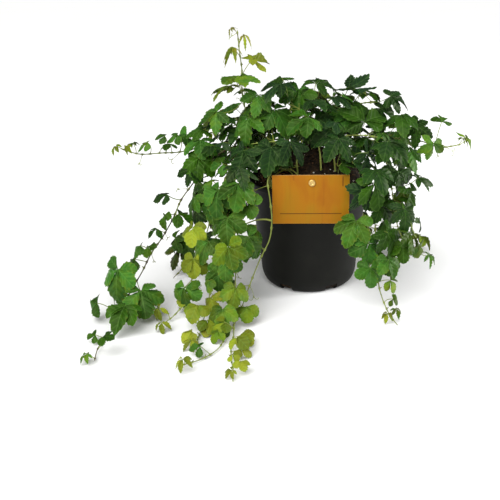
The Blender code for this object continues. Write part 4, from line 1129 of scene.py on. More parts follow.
class Room:
    """What already stands where, so that a new leaf can be kept clear of it."""

    def __init__(self):
        self.taken = []

    def add(self, shape, owner=None):
        points, faces = shape
        self.taken.append((*corners_of(points), tree_of(points, faces), owner))

    def is_free(self, leaf, owner):
        points, faces = leaf_shape(leaf, CLEAR)
        low, high = corners_of(points)
        if low.z < FLOOR_CLEAR:
            return False
        whole, blade = tree_of(points, faces), None
        for its_low, its_high, tree, its_owner in self.taken:
            if any(low[axis] > its_high[axis] or high[axis] < its_low[axis] for axis in range(3)):
                continue
            if its_owner == owner:
                # The stalk grows out of its own stem, so only the blade is tested there.
                if blade is None:
                    kept = 2 * len(leaf.edge()) + 1
                    blade = tree_of(points[:kept], [face for face in faces if max(face) < kept])
                if blade.overlap(tree):
                    return False
            elif whole.overlap(tree):
                return False
        return True


def leaf_at_place(place, line, draw, attempt):
    """A leaf whose place was given, eased a little further each time it doesn't fit."""
    x, y, z, reach, side, lift, points, *droop = place
    ease = attempt / TRIES
    shake = [draw.uniform(-1, 1) for _ in range(7)]
    loose = TURN_LUCK + (EASE_TURN - TURN_LUCK) * ease
    side += shake[3] * loose
    lift = min(STEEPEST, lift + shake[4] * loose)
    normal, downhill = direction(side, lift), direction(side, lift - 90)
    aside = Vector(shake[:3]) * EASE_ASIDE + normal * shake[6] * EASE_FORWARD
    centre = Vector((x, y, z)) + aside * ease
    turn = math.radians(points + shake[5] * loose)
    forward = downhill * math.cos(turn) + normal.cross(downhill) * math.sin(turn)
    # The stalk starts where its length comes out right, and nearer the soil if two places would do.
    stalk = reach * STALK_PER_REACH
    foot_at = min(
        range(2, len(line) * FOOT_STEPS - FOOT_STEPS - 1),
        key=lambda at: abs((line_point(line, at / FOOT_STEPS) - centre).length - stalk) + FOOT_BIAS * at,
    )
    share = foot_at / FOOT_STEPS / (len(line) - 1)
    foot = line_point(line, foot_at / FOOT_STEPS)
    leaf = make_leaf(foot, centre, normal, forward, reach, share, shake[6])
    leaf.toothed = reach >= TOOTHED_FROM_REACH
    if droop:
        leaf.arch = droop[0]
    return leaf


def line_point(line, at):
    index = min(len(line) - 2, int(at))
    return line[index].lerp(line[index + 1], at - index)


def make_leaf(foot, centre, normal, forward, reach, share, luck):
    thick = stem_radius(share) * STALK_SHARE
    arch, fold = ARCH + ARCH_LUCK * luck, FOLD + FOLD_LUCK * luck
    return Leaf(foot, centre, normal, forward, reach, thick, arch, fold)


def leaf_by_rule(line, share, side, fill, draw, attempt):
    """A leaf that grows by the rule: to alternate sides, lifted to the light, lower ones hanging."""
    near_reach, far_reach, near_stalk, far_stalk = fill[2:]
    at = share * (len(line) - 1)
    foot = line_point(line, at)
    index = min(len(line) - 2, int(at))
    along = (line[index + 1] - line[index]).normalized()
    outward = Vector((foot.x, foot.y, 0)).normalized()
    hang = held((HANGS_FROM - foot.z) / HANGS_OVER) * held(foot.z / LYING_BELOW)
    across = along.cross(UP if abs(along.z) < STEEP_STEM else outward).normalized()
    loose = LEAN_LUCK + LEAN_EASE * attempt / TRIES
    shake = Vector([draw.uniform(-loose, loose) for _ in range(3)])
    turn = draw.uniform(-loose, loose)
    luck = draw.uniform(-1, 1)
    light = UP * (LIGHT_UP[0] + LIGHT_UP[1] * hang) + outward * (LIGHT_OUT[0] + LIGHT_OUT[1] * hang)
    lean = across * side * LEAN_ASIDE + light * LEAN_LIGHT + along * LEAN_ALONG + shake
    lean.normalize()
    smaller = 1 - SHRINK_EASE * attempt / TRIES
    reach = (near_reach + (far_reach - near_reach) * share) * (1 + REACH_LUCK * luck) * smaller
    stalk = (near_stalk + (far_stalk - near_stalk) * share) * (1 + STALK_LUCK * draw.uniform(-1, 1))
    centre = foot + lean * stalk
    centre.z = max(centre.z, LYING_HEIGHT + LYING_PER_REACH * reach)
    face = UP * (FACE_UP[0] + FACE_UP[1] * hang) + outward * (FACE_OUT[0] + FACE_OUT[1] * hang)
    normal = face + shake * FACE_LUCK
    forward = lean + outward * POINT_OUT - UP * POINT_DOWN * hang + across * turn
    return make_leaf(foot, centre, normal, forward, reach, share, luck)


def grow_plant():
    """Every stem's line and its leaves: the lines first, then the leaves that find room."""
    room = Room()
    room.add(turned_shape(pot_profile(ARC_STEPS), POT_SIDES))
    room.add(turned_shape(soil_profile(SOIL_RINGS, ARC_STEPS), POT_SIDES))
    room.add(box_shape(*card_corners()))
    plant = {}
    for number, (name, stem) in enumerate(STEMS.items()):
        line = stem_points(stem, random.Random(LINE_SEED + number))
        plant[name] = (line, [])
        radii = [stem_radius(place / (len(line) - 1)) + CLEAR for place in range(len(line))]
        room.add(tube_shape(line, radii), name)
    for number, (name, stem) in enumerate(STEMS.items()):
        line, leaves = plant[name]
        draw = random.Random(PLACED_SEED + number)
        for place in stem["leaves"]:
            try_leaf(room, name, leaves, lambda attempt: leaf_at_place(place, line, draw, attempt))
    for number, (name, stem) in enumerate(STEMS.items()):
        line, leaves = plant[name]
        fill_stem(room, name, line, leaves, stem["fill"], random.Random(FILL_SEED + number))
    return plant, room


def try_leaf(room, name, leaves, make):
    """Adds the first leaf of up to TRIES attempts that stands clear of all that is there."""
    for attempt in range(TRIES):
        leaf = make(attempt)
        if room.is_free(leaf, name):
            leaves.append(leaf)
            room.add(leaf_shape(leaf))
            return


def fill_stem(room, name, line, leaves, fill, draw):
    """Leaves by the rule along a stem, to alternate sides, where none was placed."""
    first, spacing = fill[:2]
    length = line_length(line)
    side = draw.choice((-1, 1))
    placed = first + ROOT_DEPTH
    while placed < length:
        share = placed / length
        foot = line_point(line, share * (len(line) - 1))
        near = min([(leaf.foot - foot).length for leaf in leaves], default=spacing)
        if near > spacing * FILL_NEAREST:
            rule = (line, share, side, fill, draw)
            try_leaf(room, name, leaves, lambda attempt: leaf_by_rule(*rule, attempt))
        side = -side
        placed += spacing * draw.uniform(1 - SPACING_LUCK, 1 + SPACING_LUCK)


# The leafy stems: each is one grown thing of thin green or reddish stem, swollen where a leaf stalk
# leaves it, with palmate leaves of three or five toothed leaflets, forked tendrils and a soft tip.
LEAF_THICK = 0.36
FIVE_SHOWN_FROM_REACH = 19.0
# A leaflet's half width, where it is widest and how blunt it is: the old one's, what a young one's has
# on top, and luck. Leaves are young from this age on, and fully so that much later.
LEAFLET_WIDE, LEAFLET_WIDER_YOUNG = 0.28, 0.09
LEAFLET_WIDEST, LEAFLET_BLUNT = (0.57, 0.05), (0.78, -0.24)
WIDE_LUCK, BLUNT_LUCK, BASE_BLUNT = 0.03, 0.06, 0.85
YOUNG_FROM, YOUNG_OVER = 0.2, 0.4
OUTLINE_STEP, OUTLINE_STEEPEST = 0.01, (-1.0, 6.0)
# A leaf not yet open has leaflets so much narrower, blunter, more drooping and more folded.
OPENING_NARROW, OPENING_BLUNT, OPENING_DROOP, OPENING_FOLD = 0.68, 0.25, 0.3, 0.35
VEINS = 6
# A leaflet has so many rows for each vein: one more from each of these reaches on.
ROWS_FROM_REACH = (0.0, 1.0, 18.0, 24.0)
ROWS_CROWD = 1.4
LEAF_COLUMNS = 3
TOOTH_SIZE, TEETH_FROM, TEETH_OVER, TEETH_TO, TEETH_FADE = 0.028, 0.3, 0.2, 1.02, 6
VEIN_SINK, VEINS_SLANT = 0.026, 0.85
NARROWEST = 0.012
# How each leaflet differs from the next: degrees that it is turned, its length, its roll to a side, its
# droop, its bend in plan, its fold, the waves of its edge, its hollow, and its lift off the others.
LEAFLET_TURN, LEAFLET_LENGTH = (-8, 8), (0.92, 1.06)
LEAFLET_ROLL, LEAFLET_DROOP, LEAFLET_BEND = (-0.35, 0.35), (0.0, 0.25), (-0.1, 0.1)
LEAFLET_FOLD, LEAFLET_WAVE = (-0.4, 0.25), (0.02, 0.06)
LEAFLET_HOLLOW, LEAFLET_LIFT = (-0.3, 0.05), (-1.0, 1.0)
WAVES, WAVES_APART, LIFT_OVER = 7.5, 2.0, 4
# The quilting fades where half the leaflet is narrower than this, and the blade thins to its edge.
QUILT_FROM_WIDTH, EDGE_THINNED = 0.1, 0.5
LYING_CLEAR = 0.1
STEM_SIDES, STALK_SIDES, TENDRIL_SIDES = 9, 7, 5
STEM_SLIM, STEM_TIP_SLIM, CURVE_STEP = 0.66, 0.6, 1.8
KNOT_SWELL, KNOT_REACH, KNOT_SPACING, KNOT_NEAREST, KNOT_LUCK = 0.75, 1.5, 21.0, 7.0, 0.3
FAR_OFF = 99.0
STUB_LENGTH, STUB_RADII, STUB_BEND, STUB_LIFT = 3.2, (0.8, 0.55, 0.2), 0.6, 0.4
STUB_LEAST_WAY = (-1, -1, -0.4)
# A stalk is so slim, and swells at its foot and under its blade over this share of its length.
STALK_SLIM, STALK_SWELLS, STALK_SWELL_OVER, STALK_END_SLIM = 0.78, (0.55, 0.3), 0.06, 0.55
STALK_STEP, STALK_LEAST_STEPS = 2.5, 6
# Tendrils: how many leaves and knots have one, where on a stem, and their size.
TENDRIL_SHARE, KNOT_TENDRIL_SHARE, KNOT_TENDRIL_LOWEST = 0.3, 0.45, 12.0
TENDRIL_FROM, TENDRIL_LOWEST, TENDRIL_HIGHEST = 0.2, 18, 250
TENDRIL_AWAY, TENDRIL_ALONG = 0.9, 0.8
TENDRIL_SIZE, TENDRIL_RADII, TENDRIL_STEPS, FORK_STEPS = (7, 13), (0.4, 0.18), 12, 18
TENDRIL_BEND, FORK_CURL, FORK_SPIRAL = (-0.03, 0.09), (0.9, 1.3), 0.12
# A fork curls and shortens step by step: at its start, and what its whole length adds or takes off.
FORK_TIGHTENS, FORK_SHORTENS = (0.12, 0.65), (0.75, 0.5)
# How young and how brown the green parts that aren't blades are, and their share of the blades' painted
# shade.
STUB_AGE, TENDRIL_AGE, BARE_AGE = (0.6, 0.75, 0.5), (0.7, 0.1, 0.5), (0.8, 0.1, 0.5)
STEM_YOUTH, GREEN_PAINTED_SHADE = 0.55, 0.5
LEAF_SHEEN = (0.85, 1.0, 0.5, 1.0)
LEAF_SEED, INNER_SEED = 500, 400
# The small young leaves that grow between the large ones, in two rounds: the height that they keep
# above, where they start, their spacing as a share of the large ones', and their reach and stalk near
# the soil and near the tip. The second round closes the crown alone.
INNER_LEAVES = (
    (0.0, 6.0, 0.5, 21, 11, 20, 11),
    (142.0, 3.0, 0.26, 20, 14, 28, 16),
)
CROWN_SHARE = 0.6
# The last leaves of a stem are not yet open: five narrow, folded leaflets.
OPENING_LENGTH, OPENING_LENGTH_TALL, OPENING_REACH = 22.0, 46.0, 16.0
# The stems that stand up or reach out have slender, pointed leaflets however young these are.
SLENDER_STEMS = ("stem_tall", "shoot_right")
TOP, UNDER, GREEN = 0, 1, 2
# How young and how bronzed the leaves are near the soil and at the tip of a stem, and how brown it is.
USUAL_AGE = ((0.12, 0.0), (0.7, 0.15), 0.15)
AGES = {
    "stem_tall": ((0.24, 0.06), (1.05, 1.0), 0.25),
    "shoot_left": ((0.15, 0.0), (0.8, 0.3), 0.2),
    "trail_far_left": ((0.1, 0.0), (0.6, 0.0), 0.85),
    "trail_left_outer": ((0.2, 0.04), (1.5, 0.1), 0.1),
    "trail_left_front": ((0.17, 0.1), (1.5, 0.2), 0.1),
    "trail_left_inner": ((0.15, 0.12), (1.4, 0.24), 0.1),
    "trail_behind_left": ((0.03, 0.0), (0.12, 0.35), 0.6),
    "trail_right_front": ((0.06, 0.0), (0.7, 0.5), 0.3),
    "trail_right": ((0.03, 0.0), (0.5, 0.1), 0.1),
    "shoot_right": ((0.2, 0.0), (0.72, 0.12), 0.15),
    "canopy_right": ((0.05, 0.0), (0.2, 0.0), 0.05),
    "canopy_middle": ((0.1, 0.0), (0.35, 0.0), 0.05),
    "canopy_front_right": ((0.05, 0.0), (0.2, 0.0), 0.05),
    "canopy_front_left": ((0.05, 0.0), (0.25, 0.0), 0.05),
}
# Luck moves a leaf's age by so much near the soil, and by so much more at the tip. A share of all
# leaves is fresh. Bronze comes past this share of the stem, and by luck on leaves below the rim.
AGE_LUCK, AGE_LUCK_TIP, AGE_CURVE = 0.12, 0.2, 1.3
FRESH_SHARE, FRESH_AGE, FRESH_FADE = 0.2, 0.58, 0.6
BRONZE_FROM, BRONZE_CURVE, BRONZE_LUCK, BRONZE_RARE = 0.6, 1.5, 0.35, 3
# Where fresh growth stands among the dark old leaves: its place, its reach, and how near it is to
# that fresh age, in full over half that reach. Below zero, the leaves there are made older and so
# darker, partly as painted shade under and inside the crown.
FRESH_GROWTH_AND_PAINTED_SHADE = (
    ((-70, -22, 233), 40, 0.9),
    ((-62, -12, 264), 24, 0.5),
    ((-36, -15, 205), 24, 0.75),
    ((12, 26, 222), 22, 1.0),
    ((85, -63, 183), 20, 0.4),
    ((112, -26, 166), 26, 0.8),
    ((51, -93, 103), 22, 0.9),
    ((75, -112, 60), 32, 0.6),
    ((-128, -100, 75), 42, 0.8),
    ((-200, -120, 40), 45, 0.8),
    ((-129, -145, 44), 40, 0.7),
    ((55, -30, 200), 50, -0.35),
    ((72, -72, 148), 34, -0.6),
    ((-90, -60, 165), 42, -0.5),
    ((-60, -75, 150), 34, -0.5),
)
# A few pale young stalks stand bare in the soil behind the card, below the leaves that they carry,
# and one crosses to the leaves beside the pot.
BARE_STALKS = {
    "canopy_front_left": (
        ((-13, -48, 134), (-12, -48, 145), (-13, -48, 158), (-10, -47, 169), (-7, -47, 182)),
        ((-43, -44, 124), (-43, -46, 134), (-43, -46, 148), (-42, -45, 162), (-36, -44, 172)),
        (
            (-41, -47, 126), (-40, -50, 138), (-33, -51, 146),
            (-22, -51, 150), (-13, -50, 144), (-10, -48, 134),
        ),
    ),
    "canopy_middle": (
        ((14, -42, 146), (13, -41, 163), (11, -40, 177), (12, -39, 190)),
        ((30, -40, 144), (28, -38, 164), (27, -38, 178), (19, -37, 192)),
    ),
    "trail_beside_card": (((-41, -86, 102), (-47, -88, 104), (-56, -90, 104), (-67, -93, 101)),),
}
BARE_RADIUS, BARE_TIP = 1.1, 0.7
# Leaves that near a side of the box that the solids fill are drawn back over its last millimetres.
BOX_EASE, BOX_OVER = 8.0, 4.0
box_low, box_high = (Vector(corner) / MM for corner in cad_bounds)


def drawn_inside(point):
    """The point, drawn back where it nears a side of the box."""
    squeeze = BOX_EASE / (BOX_EASE + BOX_OVER)
    for axis in range(3):
        over = point[axis] - box_high[axis] + BOX_EASE
        under = box_low[axis] + BOX_EASE - point[axis]
        if over > 0:
            point[axis] -= over * (1 - squeeze)
        elif under > 0 and axis < 2:
            point[axis] += under * (1 - squeeze)
    return point


class Growth:
    """The points and faces of one leafy stem, each point with the marks that its colour needs."""

    def __init__(self):
        self.points, self.faces, self.kinds = [], [], []
        self.age, self.vein, self.margin = [], [], []

    def add_point(self, point, age, vein=(0.0, 0.0, 0.0), margin=0.0, least=LYING_CLEAR):
        """A point with its marks; none goes below the surface that the pot stands on."""
        point.z = max(point.z, least)
        self.points.append(drawn_inside(point))
        self.age.append(age)
        self.vein.append(vein)
        self.margin.append(margin)

    def add_face(self, corners, kind):
        self.faces.append(corners)
        self.kinds.append(kind)

    def add_tube(self, line, radii, sides, age):
        """A tube round a line that isn't twisted more than the line itself, closed at both ends."""
        spoke, start = None, len(self.points)
        for place, point in enumerate(line):
            before, after = line[max(0, place - 1)], line[min(len(line) - 1, place + 1)]
            along = (after - before).normalized()
            first = along.orthogonal() if spoke is None else spoke - along * spoke.dot(along)
            spoke = first.normalized()
            second = along.cross(spoke)
            for side in range(sides):
                turn = math.tau * side / sides
                out = spoke * math.cos(turn) + second * math.sin(turn)
                self.add_point(point + out * radii[place], age)
        for ring in range(len(line) - 1):
            for side in range(sides):
                a, b = start + ring * sides + side, start + ring * sides + (side + 1) % sides
                self.add_face((a, b, b + sides, a + sides), GREEN)
        self.add_face(tuple(range(start + sides - 1, start - 1, -1)), GREEN)
        end = start + (len(line) - 1) * sides
        self.add_face(tuple(range(end, end + sides)), GREEN)

    def add_leaflet(self, leaf, turn, length, shape, age, draw):
        """One leaflet: rows run from its rib out along the veins, and each vein ends in a tooth.

        Its upper and lower faces meet in a thin edge.
        """
        per_vein = sum(leaf.reach >= reach for reach in ROWS_FROM_REACH)
        rows = VEINS * per_vein
        turn += draw.uniform(*LEAFLET_TURN)
        # The age mark's third number is this leaflet's random share of painted shade.
        age = (*age[:2], draw.random())
        length *= draw.uniform(*LEAFLET_LENGTH)
        size = leaf.reach * length
        # A blade that hangs steep is rolled, folded and drooped up to twice as much as a level one.
        more = 2.0 - abs(leaf.normal.z)
        roll, droop = draw.uniform(*LEAFLET_ROLL) * more, draw.uniform(*LEAFLET_DROOP) * more
        bend, fold = draw.uniform(*LEAFLET_BEND), draw.uniform(*LEAFLET_FOLD) * more
        if leaf.opening:
            droop, fold = droop + OPENING_DROOP, abs(fold) + OPENING_FOLD
        wave, phase = draw.uniform(*LEAFLET_WAVE), draw.uniform(0, math.tau)
        hollow, raised = draw.uniform(*LEAFLET_HOLLOW), draw.uniform(*LEAFLET_LIFT)
        across = range(-LEAF_COLUMNS, LEAF_COLUMNS + 1)
        layers = {TOP: [], UNDER: []}
        for row in range(rows + 1):
            along = 1 - (1 - row / rows) ** ROWS_CROWD
            tooth = 2 * (row % per_vein) / (per_vein - 1) - 1
            vein = (row + 1) / per_vein
            half, slope = leaflet_half(along, shape), leaflet_slope(along, shape)
            bite = TOOTH_SIZE * tooth * toothed_there(along)
            edge_along = along + bite * slope / math.hypot(1, slope)
            edge_half = max(NARROWEST, half + bite / math.hypot(1, slope))
            rib = max(0.0, along - VEINS_SLANT * half)
            corners = {TOP: [], UNDER: []}
            for column in across:
                out = abs(column) / LEAF_COLUMNS
                at = rib + (edge_along - rib) * out
                aside = math.copysign(edge_half * out, column) + bend * at * at
                quilt = math.cos(math.tau * vein) * math.sin(math.pi * out)
                quilt *= min(1.0, half / QUILT_FROM_WIDTH)
                apart = WAVES_APART if column > 0 else 0.0
                ripple = wave * out**2 * math.sin(phase + WAVES * at + apart)
                lift = ripple - VEIN_SINK * quilt + roll * aside + fold * abs(aside)
                lift += hollow * half * out**2 - droop * at * at
                lift = lift * size + raised * min(1.0, at * LIFT_OVER)
                on_edge = out == 1 or row in (0, rows)
                thick = 0.0 if on_edge else LEAF_THICK / 2 * (1 - EDGE_THINNED * out**3)
                corners[TOP].append(len(self.points))
                marks = (age, (aside, at, vein), out)
                upper = leaf.point(turn, length, at, aside, lift + thick)
                self.add_point(upper, *marks, least=LYING_CLEAR + 2 * thick)
                corners[UNDER].append(corners[TOP][-1] if on_edge else len(self.points))
                if not on_edge:
                    self.add_point(leaf.point(turn, length, at, aside, lift - thick), *marks)
            for kind, rings in layers.items():
                rings.append(corners[kind])
        for kind, rings in layers.items():
            for ring, after in zip(rings, rings[1:]):
                for column in range(len(across) - 1):
                    face = (ring[column], after[column], after[column + 1], ring[column + 1])
                    self.add_face(face if kind == TOP else face[::-1], kind)

    def add_leaf(self, leaf, age, draw):
        """A leaf's leaflets, and its stalk up to just above the middle of the blade."""
        five = leaf.opening or leaf.reach >= FIVE_SHOWN_FROM_REACH
        wide, widest, blunt = leaflet_shape(0.0 if leaf.slender else age[0], draw)
        if leaf.opening:
            wide, blunt = wide * OPENING_NARROW, blunt + OPENING_BLUNT
        elif not five:
            wide *= THREE_WIDER
        for turn, length in FIVE_LEAFLETS if five else THREE_LEAFLETS:
            self.add_leaflet(leaf, turn, length, (wide, widest, blunt), age, draw)
        steps = max(STALK_LEAST_STEPS, round((leaf.centre - leaf.foot).length / STALK_STEP))
        stalk = leaf.stalk(leaf.centre + leaf.normal * LEAF_THICK, steps)
        radii = []
        for place in range(len(stalk)):
            share = place / (len(stalk) - 1)
            swells = zip(STALK_SWELLS, (share, 1 - share))
            swell = sum(more * math.exp(-((off / STALK_SWELL_OVER) ** 2)) for more, off in swells)
            radii.append(leaf.thick * (STALK_SLIM + swell))
        radii[-1] *= STALK_END_SLIM
        self.add_tube(stalk, radii, STALK_SIDES, (*age, GREEN_PAINTED_SHADE))

    def as_object(self, name):
        """The stem as one object, with its three materials and its marks."""
        obj = new_object(name, self.points, self.faces, weld=False)
        mesh = obj.data
        for material in leaf_materials:
            mesh.materials.append(material)
        mesh.polygons.foreach_set("material_index", self.kinds)
        # The age mark holds youth, bronze and the share of painted shade.
        for title, kind, values in (
            ("age", "FLOAT_VECTOR", [number for vector in self.age for number in vector]),
            ("vein", "FLOAT_VECTOR", [number for vector in self.vein for number in vector]),
            ("margin", "FLOAT", self.margin),
        ):
            marks = mesh.attributes.new(title, kind, "POINT")
            marks.data.foreach_set("value" if kind == "FLOAT" else "vector", values)
        return obj


def leaflet_shape(youth, draw):
    """A leaflet's half width, where it is widest and how blunt its tip is: older ones are pointed."""
    young = held((youth - YOUNG_FROM) / YOUNG_OVER)
    wide = LEAFLET_WIDE + LEAFLET_WIDER_YOUNG * young + draw.uniform(-WIDE_LUCK, WIDE_LUCK)
    widest = LEAFLET_WIDEST[0] + LEAFLET_WIDEST[1] * young + draw.uniform(-WIDE_LUCK, WIDE_LUCK)
    blunt = LEAFLET_BLUNT[0] + LEAFLET_BLUNT[1] * young + draw.uniform(-BLUNT_LUCK, BLUNT_LUCK)
    return wide, math.log(0.5) / math.log(widest), blunt


def leaflet_half(along, shape):
    """Half a leaflet's width there: a wedge at the base, widest near the middle."""
    wide, power, blunt = shape
    if not 0 < along < 1:
        return 0.0
    swell = math.sin(math.pi * along**power)
    return wide * swell ** (BASE_BLUNT if along**power < 0.5 else blunt)


def leaflet_slope(along, shape):
    """How fast the outline closes in there, so that teeth stand out square to it."""
    before, after = (leaflet_half(along + step, shape) for step in (-OUTLINE_STEP, OUTLINE_STEP))
    least, most = OUTLINE_STEEPEST
    return max(least, min(most, (before - after) / (2 * OUTLINE_STEP)))


def toothed_there(along):
    """How far the teeth are out there: none near the base, and smaller ones again at the tip."""
    return held((along - TEETH_FROM) / TEETH_OVER) * min(1.0, (TEETH_TO - along) * TEETH_FADE)


def stem_curve(line):
    """Points about 2 mm apart along a smooth curve through the stem's points, with their shares."""
    found = []
    for index, span in enumerate(curve_spans(line)):
        parts = max(2, round((span[2] - span[1]).length / CURVE_STEP))
        for part in range(parts):
            found.append((span_point(*span, part / parts), (index + part / parts) / (len(line) - 1)))
    found.append((line[-1], 1.0))
    return found


def nearest(point, others):
    """How far the nearest of the others is: a good way off where there are none."""
    return min([(point - other).length for other in others], default=FAR_OFF)


def stem_knots(curve, length, feet, draw):
    """Where the stem has its knots: at each leaf stalk, and between them where a leaf has fallen."""
    knots, since = [], 0.0
    for (point, share), (after, _) in zip(curve, curve[1:]):
        since += (after - point).length
        near = nearest(point, feet + knots)
        if since > KNOT_SPACING and near > KNOT_NEAREST and share * length > ROOT_DEPTH:
            knots.append(point)
            since = draw.uniform(-KNOT_LUCK, KNOT_LUCK) * KNOT_SPACING
    return knots


def stem_radii(curve, feet):
    """The stem's radius at each point: it thins to its tip and swells at its knots."""
    radii = []
    for point, share in curve:
        swell = KNOT_SWELL * math.exp(-((nearest(point, feet) / KNOT_REACH) ** 2))
        radii.append(stem_radius(share) * (STEM_SLIM + swell))
    radii[-1] *= STEM_TIP_SLIM
    return radii


def tendril_lines(foot, way, size, draw):
    """A tendril that leaves the stem, forks, and curls up at both ends."""
    axis = way.orthogonal().normalized()
    axis.rotate(Matrix.Rotation(draw.uniform(0, math.tau), 3, way))
    line, heading = [foot.copy()], way.copy()
    for _ in range(TENDRIL_STEPS):
        heading.rotate(Matrix.Rotation(draw.uniform(*TENDRIL_BEND), 3, axis))
        line.append(line[-1] + heading * size / TENDRIL_STEPS)
    lines = [line]
    for fork in (-1, 1):
        arm, heading_now = [line[-1].copy()], heading.copy()
        curl = fork * draw.uniform(*FORK_CURL)
        for step in range(FORK_STEPS):
            share = step / FORK_STEPS
            turned = curl * (FORK_TIGHTENS[0] + FORK_TIGHTENS[1] * share**3)
            heading_now.rotate(Matrix.Rotation(turned, 3, axis))
            onward = (heading_now + axis * FORK_SPIRAL) * size / TENDRIL_STEPS
            arm.append(arm[-1] + onward * (FORK_SHORTENS[0] - FORK_SHORTENS[1] * share))
        lines.append(arm)
    return lines


def add_tendril(growth, foot, way, draw):
    """A tendril in its three parts, each thinning to its end."""
    thick, end = TENDRIL_RADII
    for part in tendril_lines(foot, way, draw.uniform(*TENDRIL_SIZE), draw):
        radii = [thick + (end - thick) * place / len(part) for place in range(len(part))]
        growth.add_tube(part, radii, TENDRIL_SIDES, TENDRIL_AGE)


def age_of(name, leaf, draw):
    """How young and how bronzed a leaf is, by its place along its stem, by luck, and by given spots of
    fresh growth and of painted shade.
    """
    near, far, _ = AGES.get(name, USUAL_AGE)
    luck = AGE_LUCK + AGE_LUCK_TIP * leaf.share
    youth = near[0] + (far[0] - near[0]) * leaf.share**AGE_CURVE + draw.uniform(-luck, luck)
    lucky = draw.random()
    if lucky < FRESH_SHARE:
        youth += (FRESH_AGE - youth) * (1 - FRESH_FADE * lucky / FRESH_SHARE)
    # A spot below zero makes leaves older and darker: painted shade under and inside the crown.
    for place, reach, freshness_or_shade in FRESH_GROWTH_AND_PAINTED_SHADE:
        near_by = max(0.0, 1.0 - (leaf.centre - Vector(place)).length / reach)
        youth += max(0.0, FRESH_AGE - youth) * freshness_or_shade * min(1.0, 2 * near_by)
    bronzing = max(0.0, (leaf.share - BRONZE_FROM) / (1 - BRONZE_FROM)) ** BRONZE_CURVE
    bronze = near[1] + (far[1] - near[1]) * bronzing
    bronze += BRONZE_LUCK * draw.random() ** BRONZE_RARE * leaf.share * (leaf.centre.z < POT_HEIGHT)
    return held(youth), min(1.0, bronze)


def marks_of(tree, title):
    """The three numbers of the mark that the mesh carries under that title."""
    mark = add_node(tree, "Attribute", attribute_name=title).outputs["Vector"]
    return add_node(tree, "SeparateXYZ", {0: mark}).outputs


def leaf_colour(tree, stops, bronzed):
    """The blade's colour by its age, bronzed by its bronze, clouded a little, and darkened by painted
    shade.
    """
    marks = marks_of(tree, "age")
    place = place_of(tree)
    cloud = in_range(tree, noise_at(tree, place, 75, 4), 0.3, 0.7, -0.07, 0.07)
    youth = reckon(tree, "ADD", marks["X"], cloud)
    colour = ramp(tree, youth, stops)
    blotch = in_range(tree, noise_at(tree, place, 110, 3), 0.25, 0.6)
    bronze = reckon(tree, "MULTIPLY", marks["Y"], blotch)
    colour = mixed(tree, bronze, colour, mixed(tree, in_range(tree, youth, 0.3, 0.8), *bronzed))
    # Painted shade: each leaflet is darkened toward near black by its own random share, standing in for
    # the light that its tilt catches.
    painted_shade = in_range(tree, marks["Z"], 0.0, 1.0, 0.58, 0.0)
    return mixed(tree, painted_shade, colour, (0.003, 0.010, 0.002))


def leaf_top():
    """Satin green: bluish when old, yellow-green when young, with paler veins and a thin pale edge."""
    material, tree, shader = new_material("leaf top")
    colour = leaf_colour(tree, (
        (0.0, (0.011, 0.033, 0.012)), (0.2, (0.014, 0.046, 0.006)), (0.45, (0.030, 0.092, 0.003)),
        (0.62, (0.044, 0.165, 0.019)), (0.8, (0.15, 0.24, 0.008)), (1.0, (0.28, 0.34, 0.022)),
    ), ((0.060, 0.040, 0.005), (0.26, 0.15, 0.022)))
    line = marks_of(tree, "vein")
    rib = in_range(tree, away_from(tree, line["X"], 0.0), 0.026, 0.008)
    off = away_from(tree, reckon(tree, "FRACT", line["Z"], 0.0), 0.5)
    vein = in_range(tree, off, 0.41, 0.49, 0.0, 0.6)
    lines = reckon(tree, "MAXIMUM", rib, vein)
    margin = add_node(tree, "Attribute", attribute_name="margin").outputs["Fac"]
    lines = reckon(tree, "MULTIPLY", lines, in_range(tree, margin, 0.98, 0.7))
    strong = in_range(tree, marks_of(tree, "age")["X"], 0.2, 0.6, 0.26, 0.5)
    paler = mixed(tree, 0.5, colour, (0.16, 0.32, 0.07))
    shown = mixed(tree, reckon(tree, "MULTIPLY", lines, strong), colour, paler)
    between = in_range(tree, off, 0.25, 0.0, 0.0, 0.3)
    between = reckon(tree, "MULTIPLY", between, in_range(tree, margin, 0.95, 0.5))
    shown = mixed(tree, between, shown, mixed(tree, 0.6, colour, (0.004, 0.016, 0.003)))
    edge = reckon(tree, "MULTIPLY", in_range(tree, margin, 0.86, 1.0), strong)
    shown = mixed(tree, edge, shown, (0.11, 0.27, 0.05))
    set_finish(
        tree, shader, shown, 0.42, Specular_IOR_Level=0.14, Specular_Tint=LEAF_SHEEN,
        Subsurface_Weight=0.06, Subsurface_Radius=(0.0012, 0.002, 0.0004), Subsurface_Scale=1.0,
    )
    set_bump(tree, shader, noise_at(tree, place_of(tree), 900, 3), 0.25, 0.15)
    return material


def leaf_underside():
    """Paler and duller than the top, with the veins standing out."""
    material, tree, shader = new_material("leaf underside")
    colour = leaf_colour(tree, (
        (0.0, (0.030, 0.065, 0.018)), (0.35, (0.050, 0.110, 0.012)), (0.7, (0.12, 0.20, 0.012)),
        (1.0, (0.25, 0.33, 0.035)),
    ), ((0.11, 0.06, 0.02), (0.30, 0.19, 0.04)))
    rib = in_range(tree, away_from(tree, marks_of(tree, "vein")["X"], 0.0), 0.03, 0.01, 0.0, 0.5)
    colour = mixed(tree, rib, colour, (0.20, 0.30, 0.08))
    set_finish(tree, shader, colour, 0.6, Specular_IOR_Level=0.2, Specular_Tint=LEAF_SHEEN)
    return material


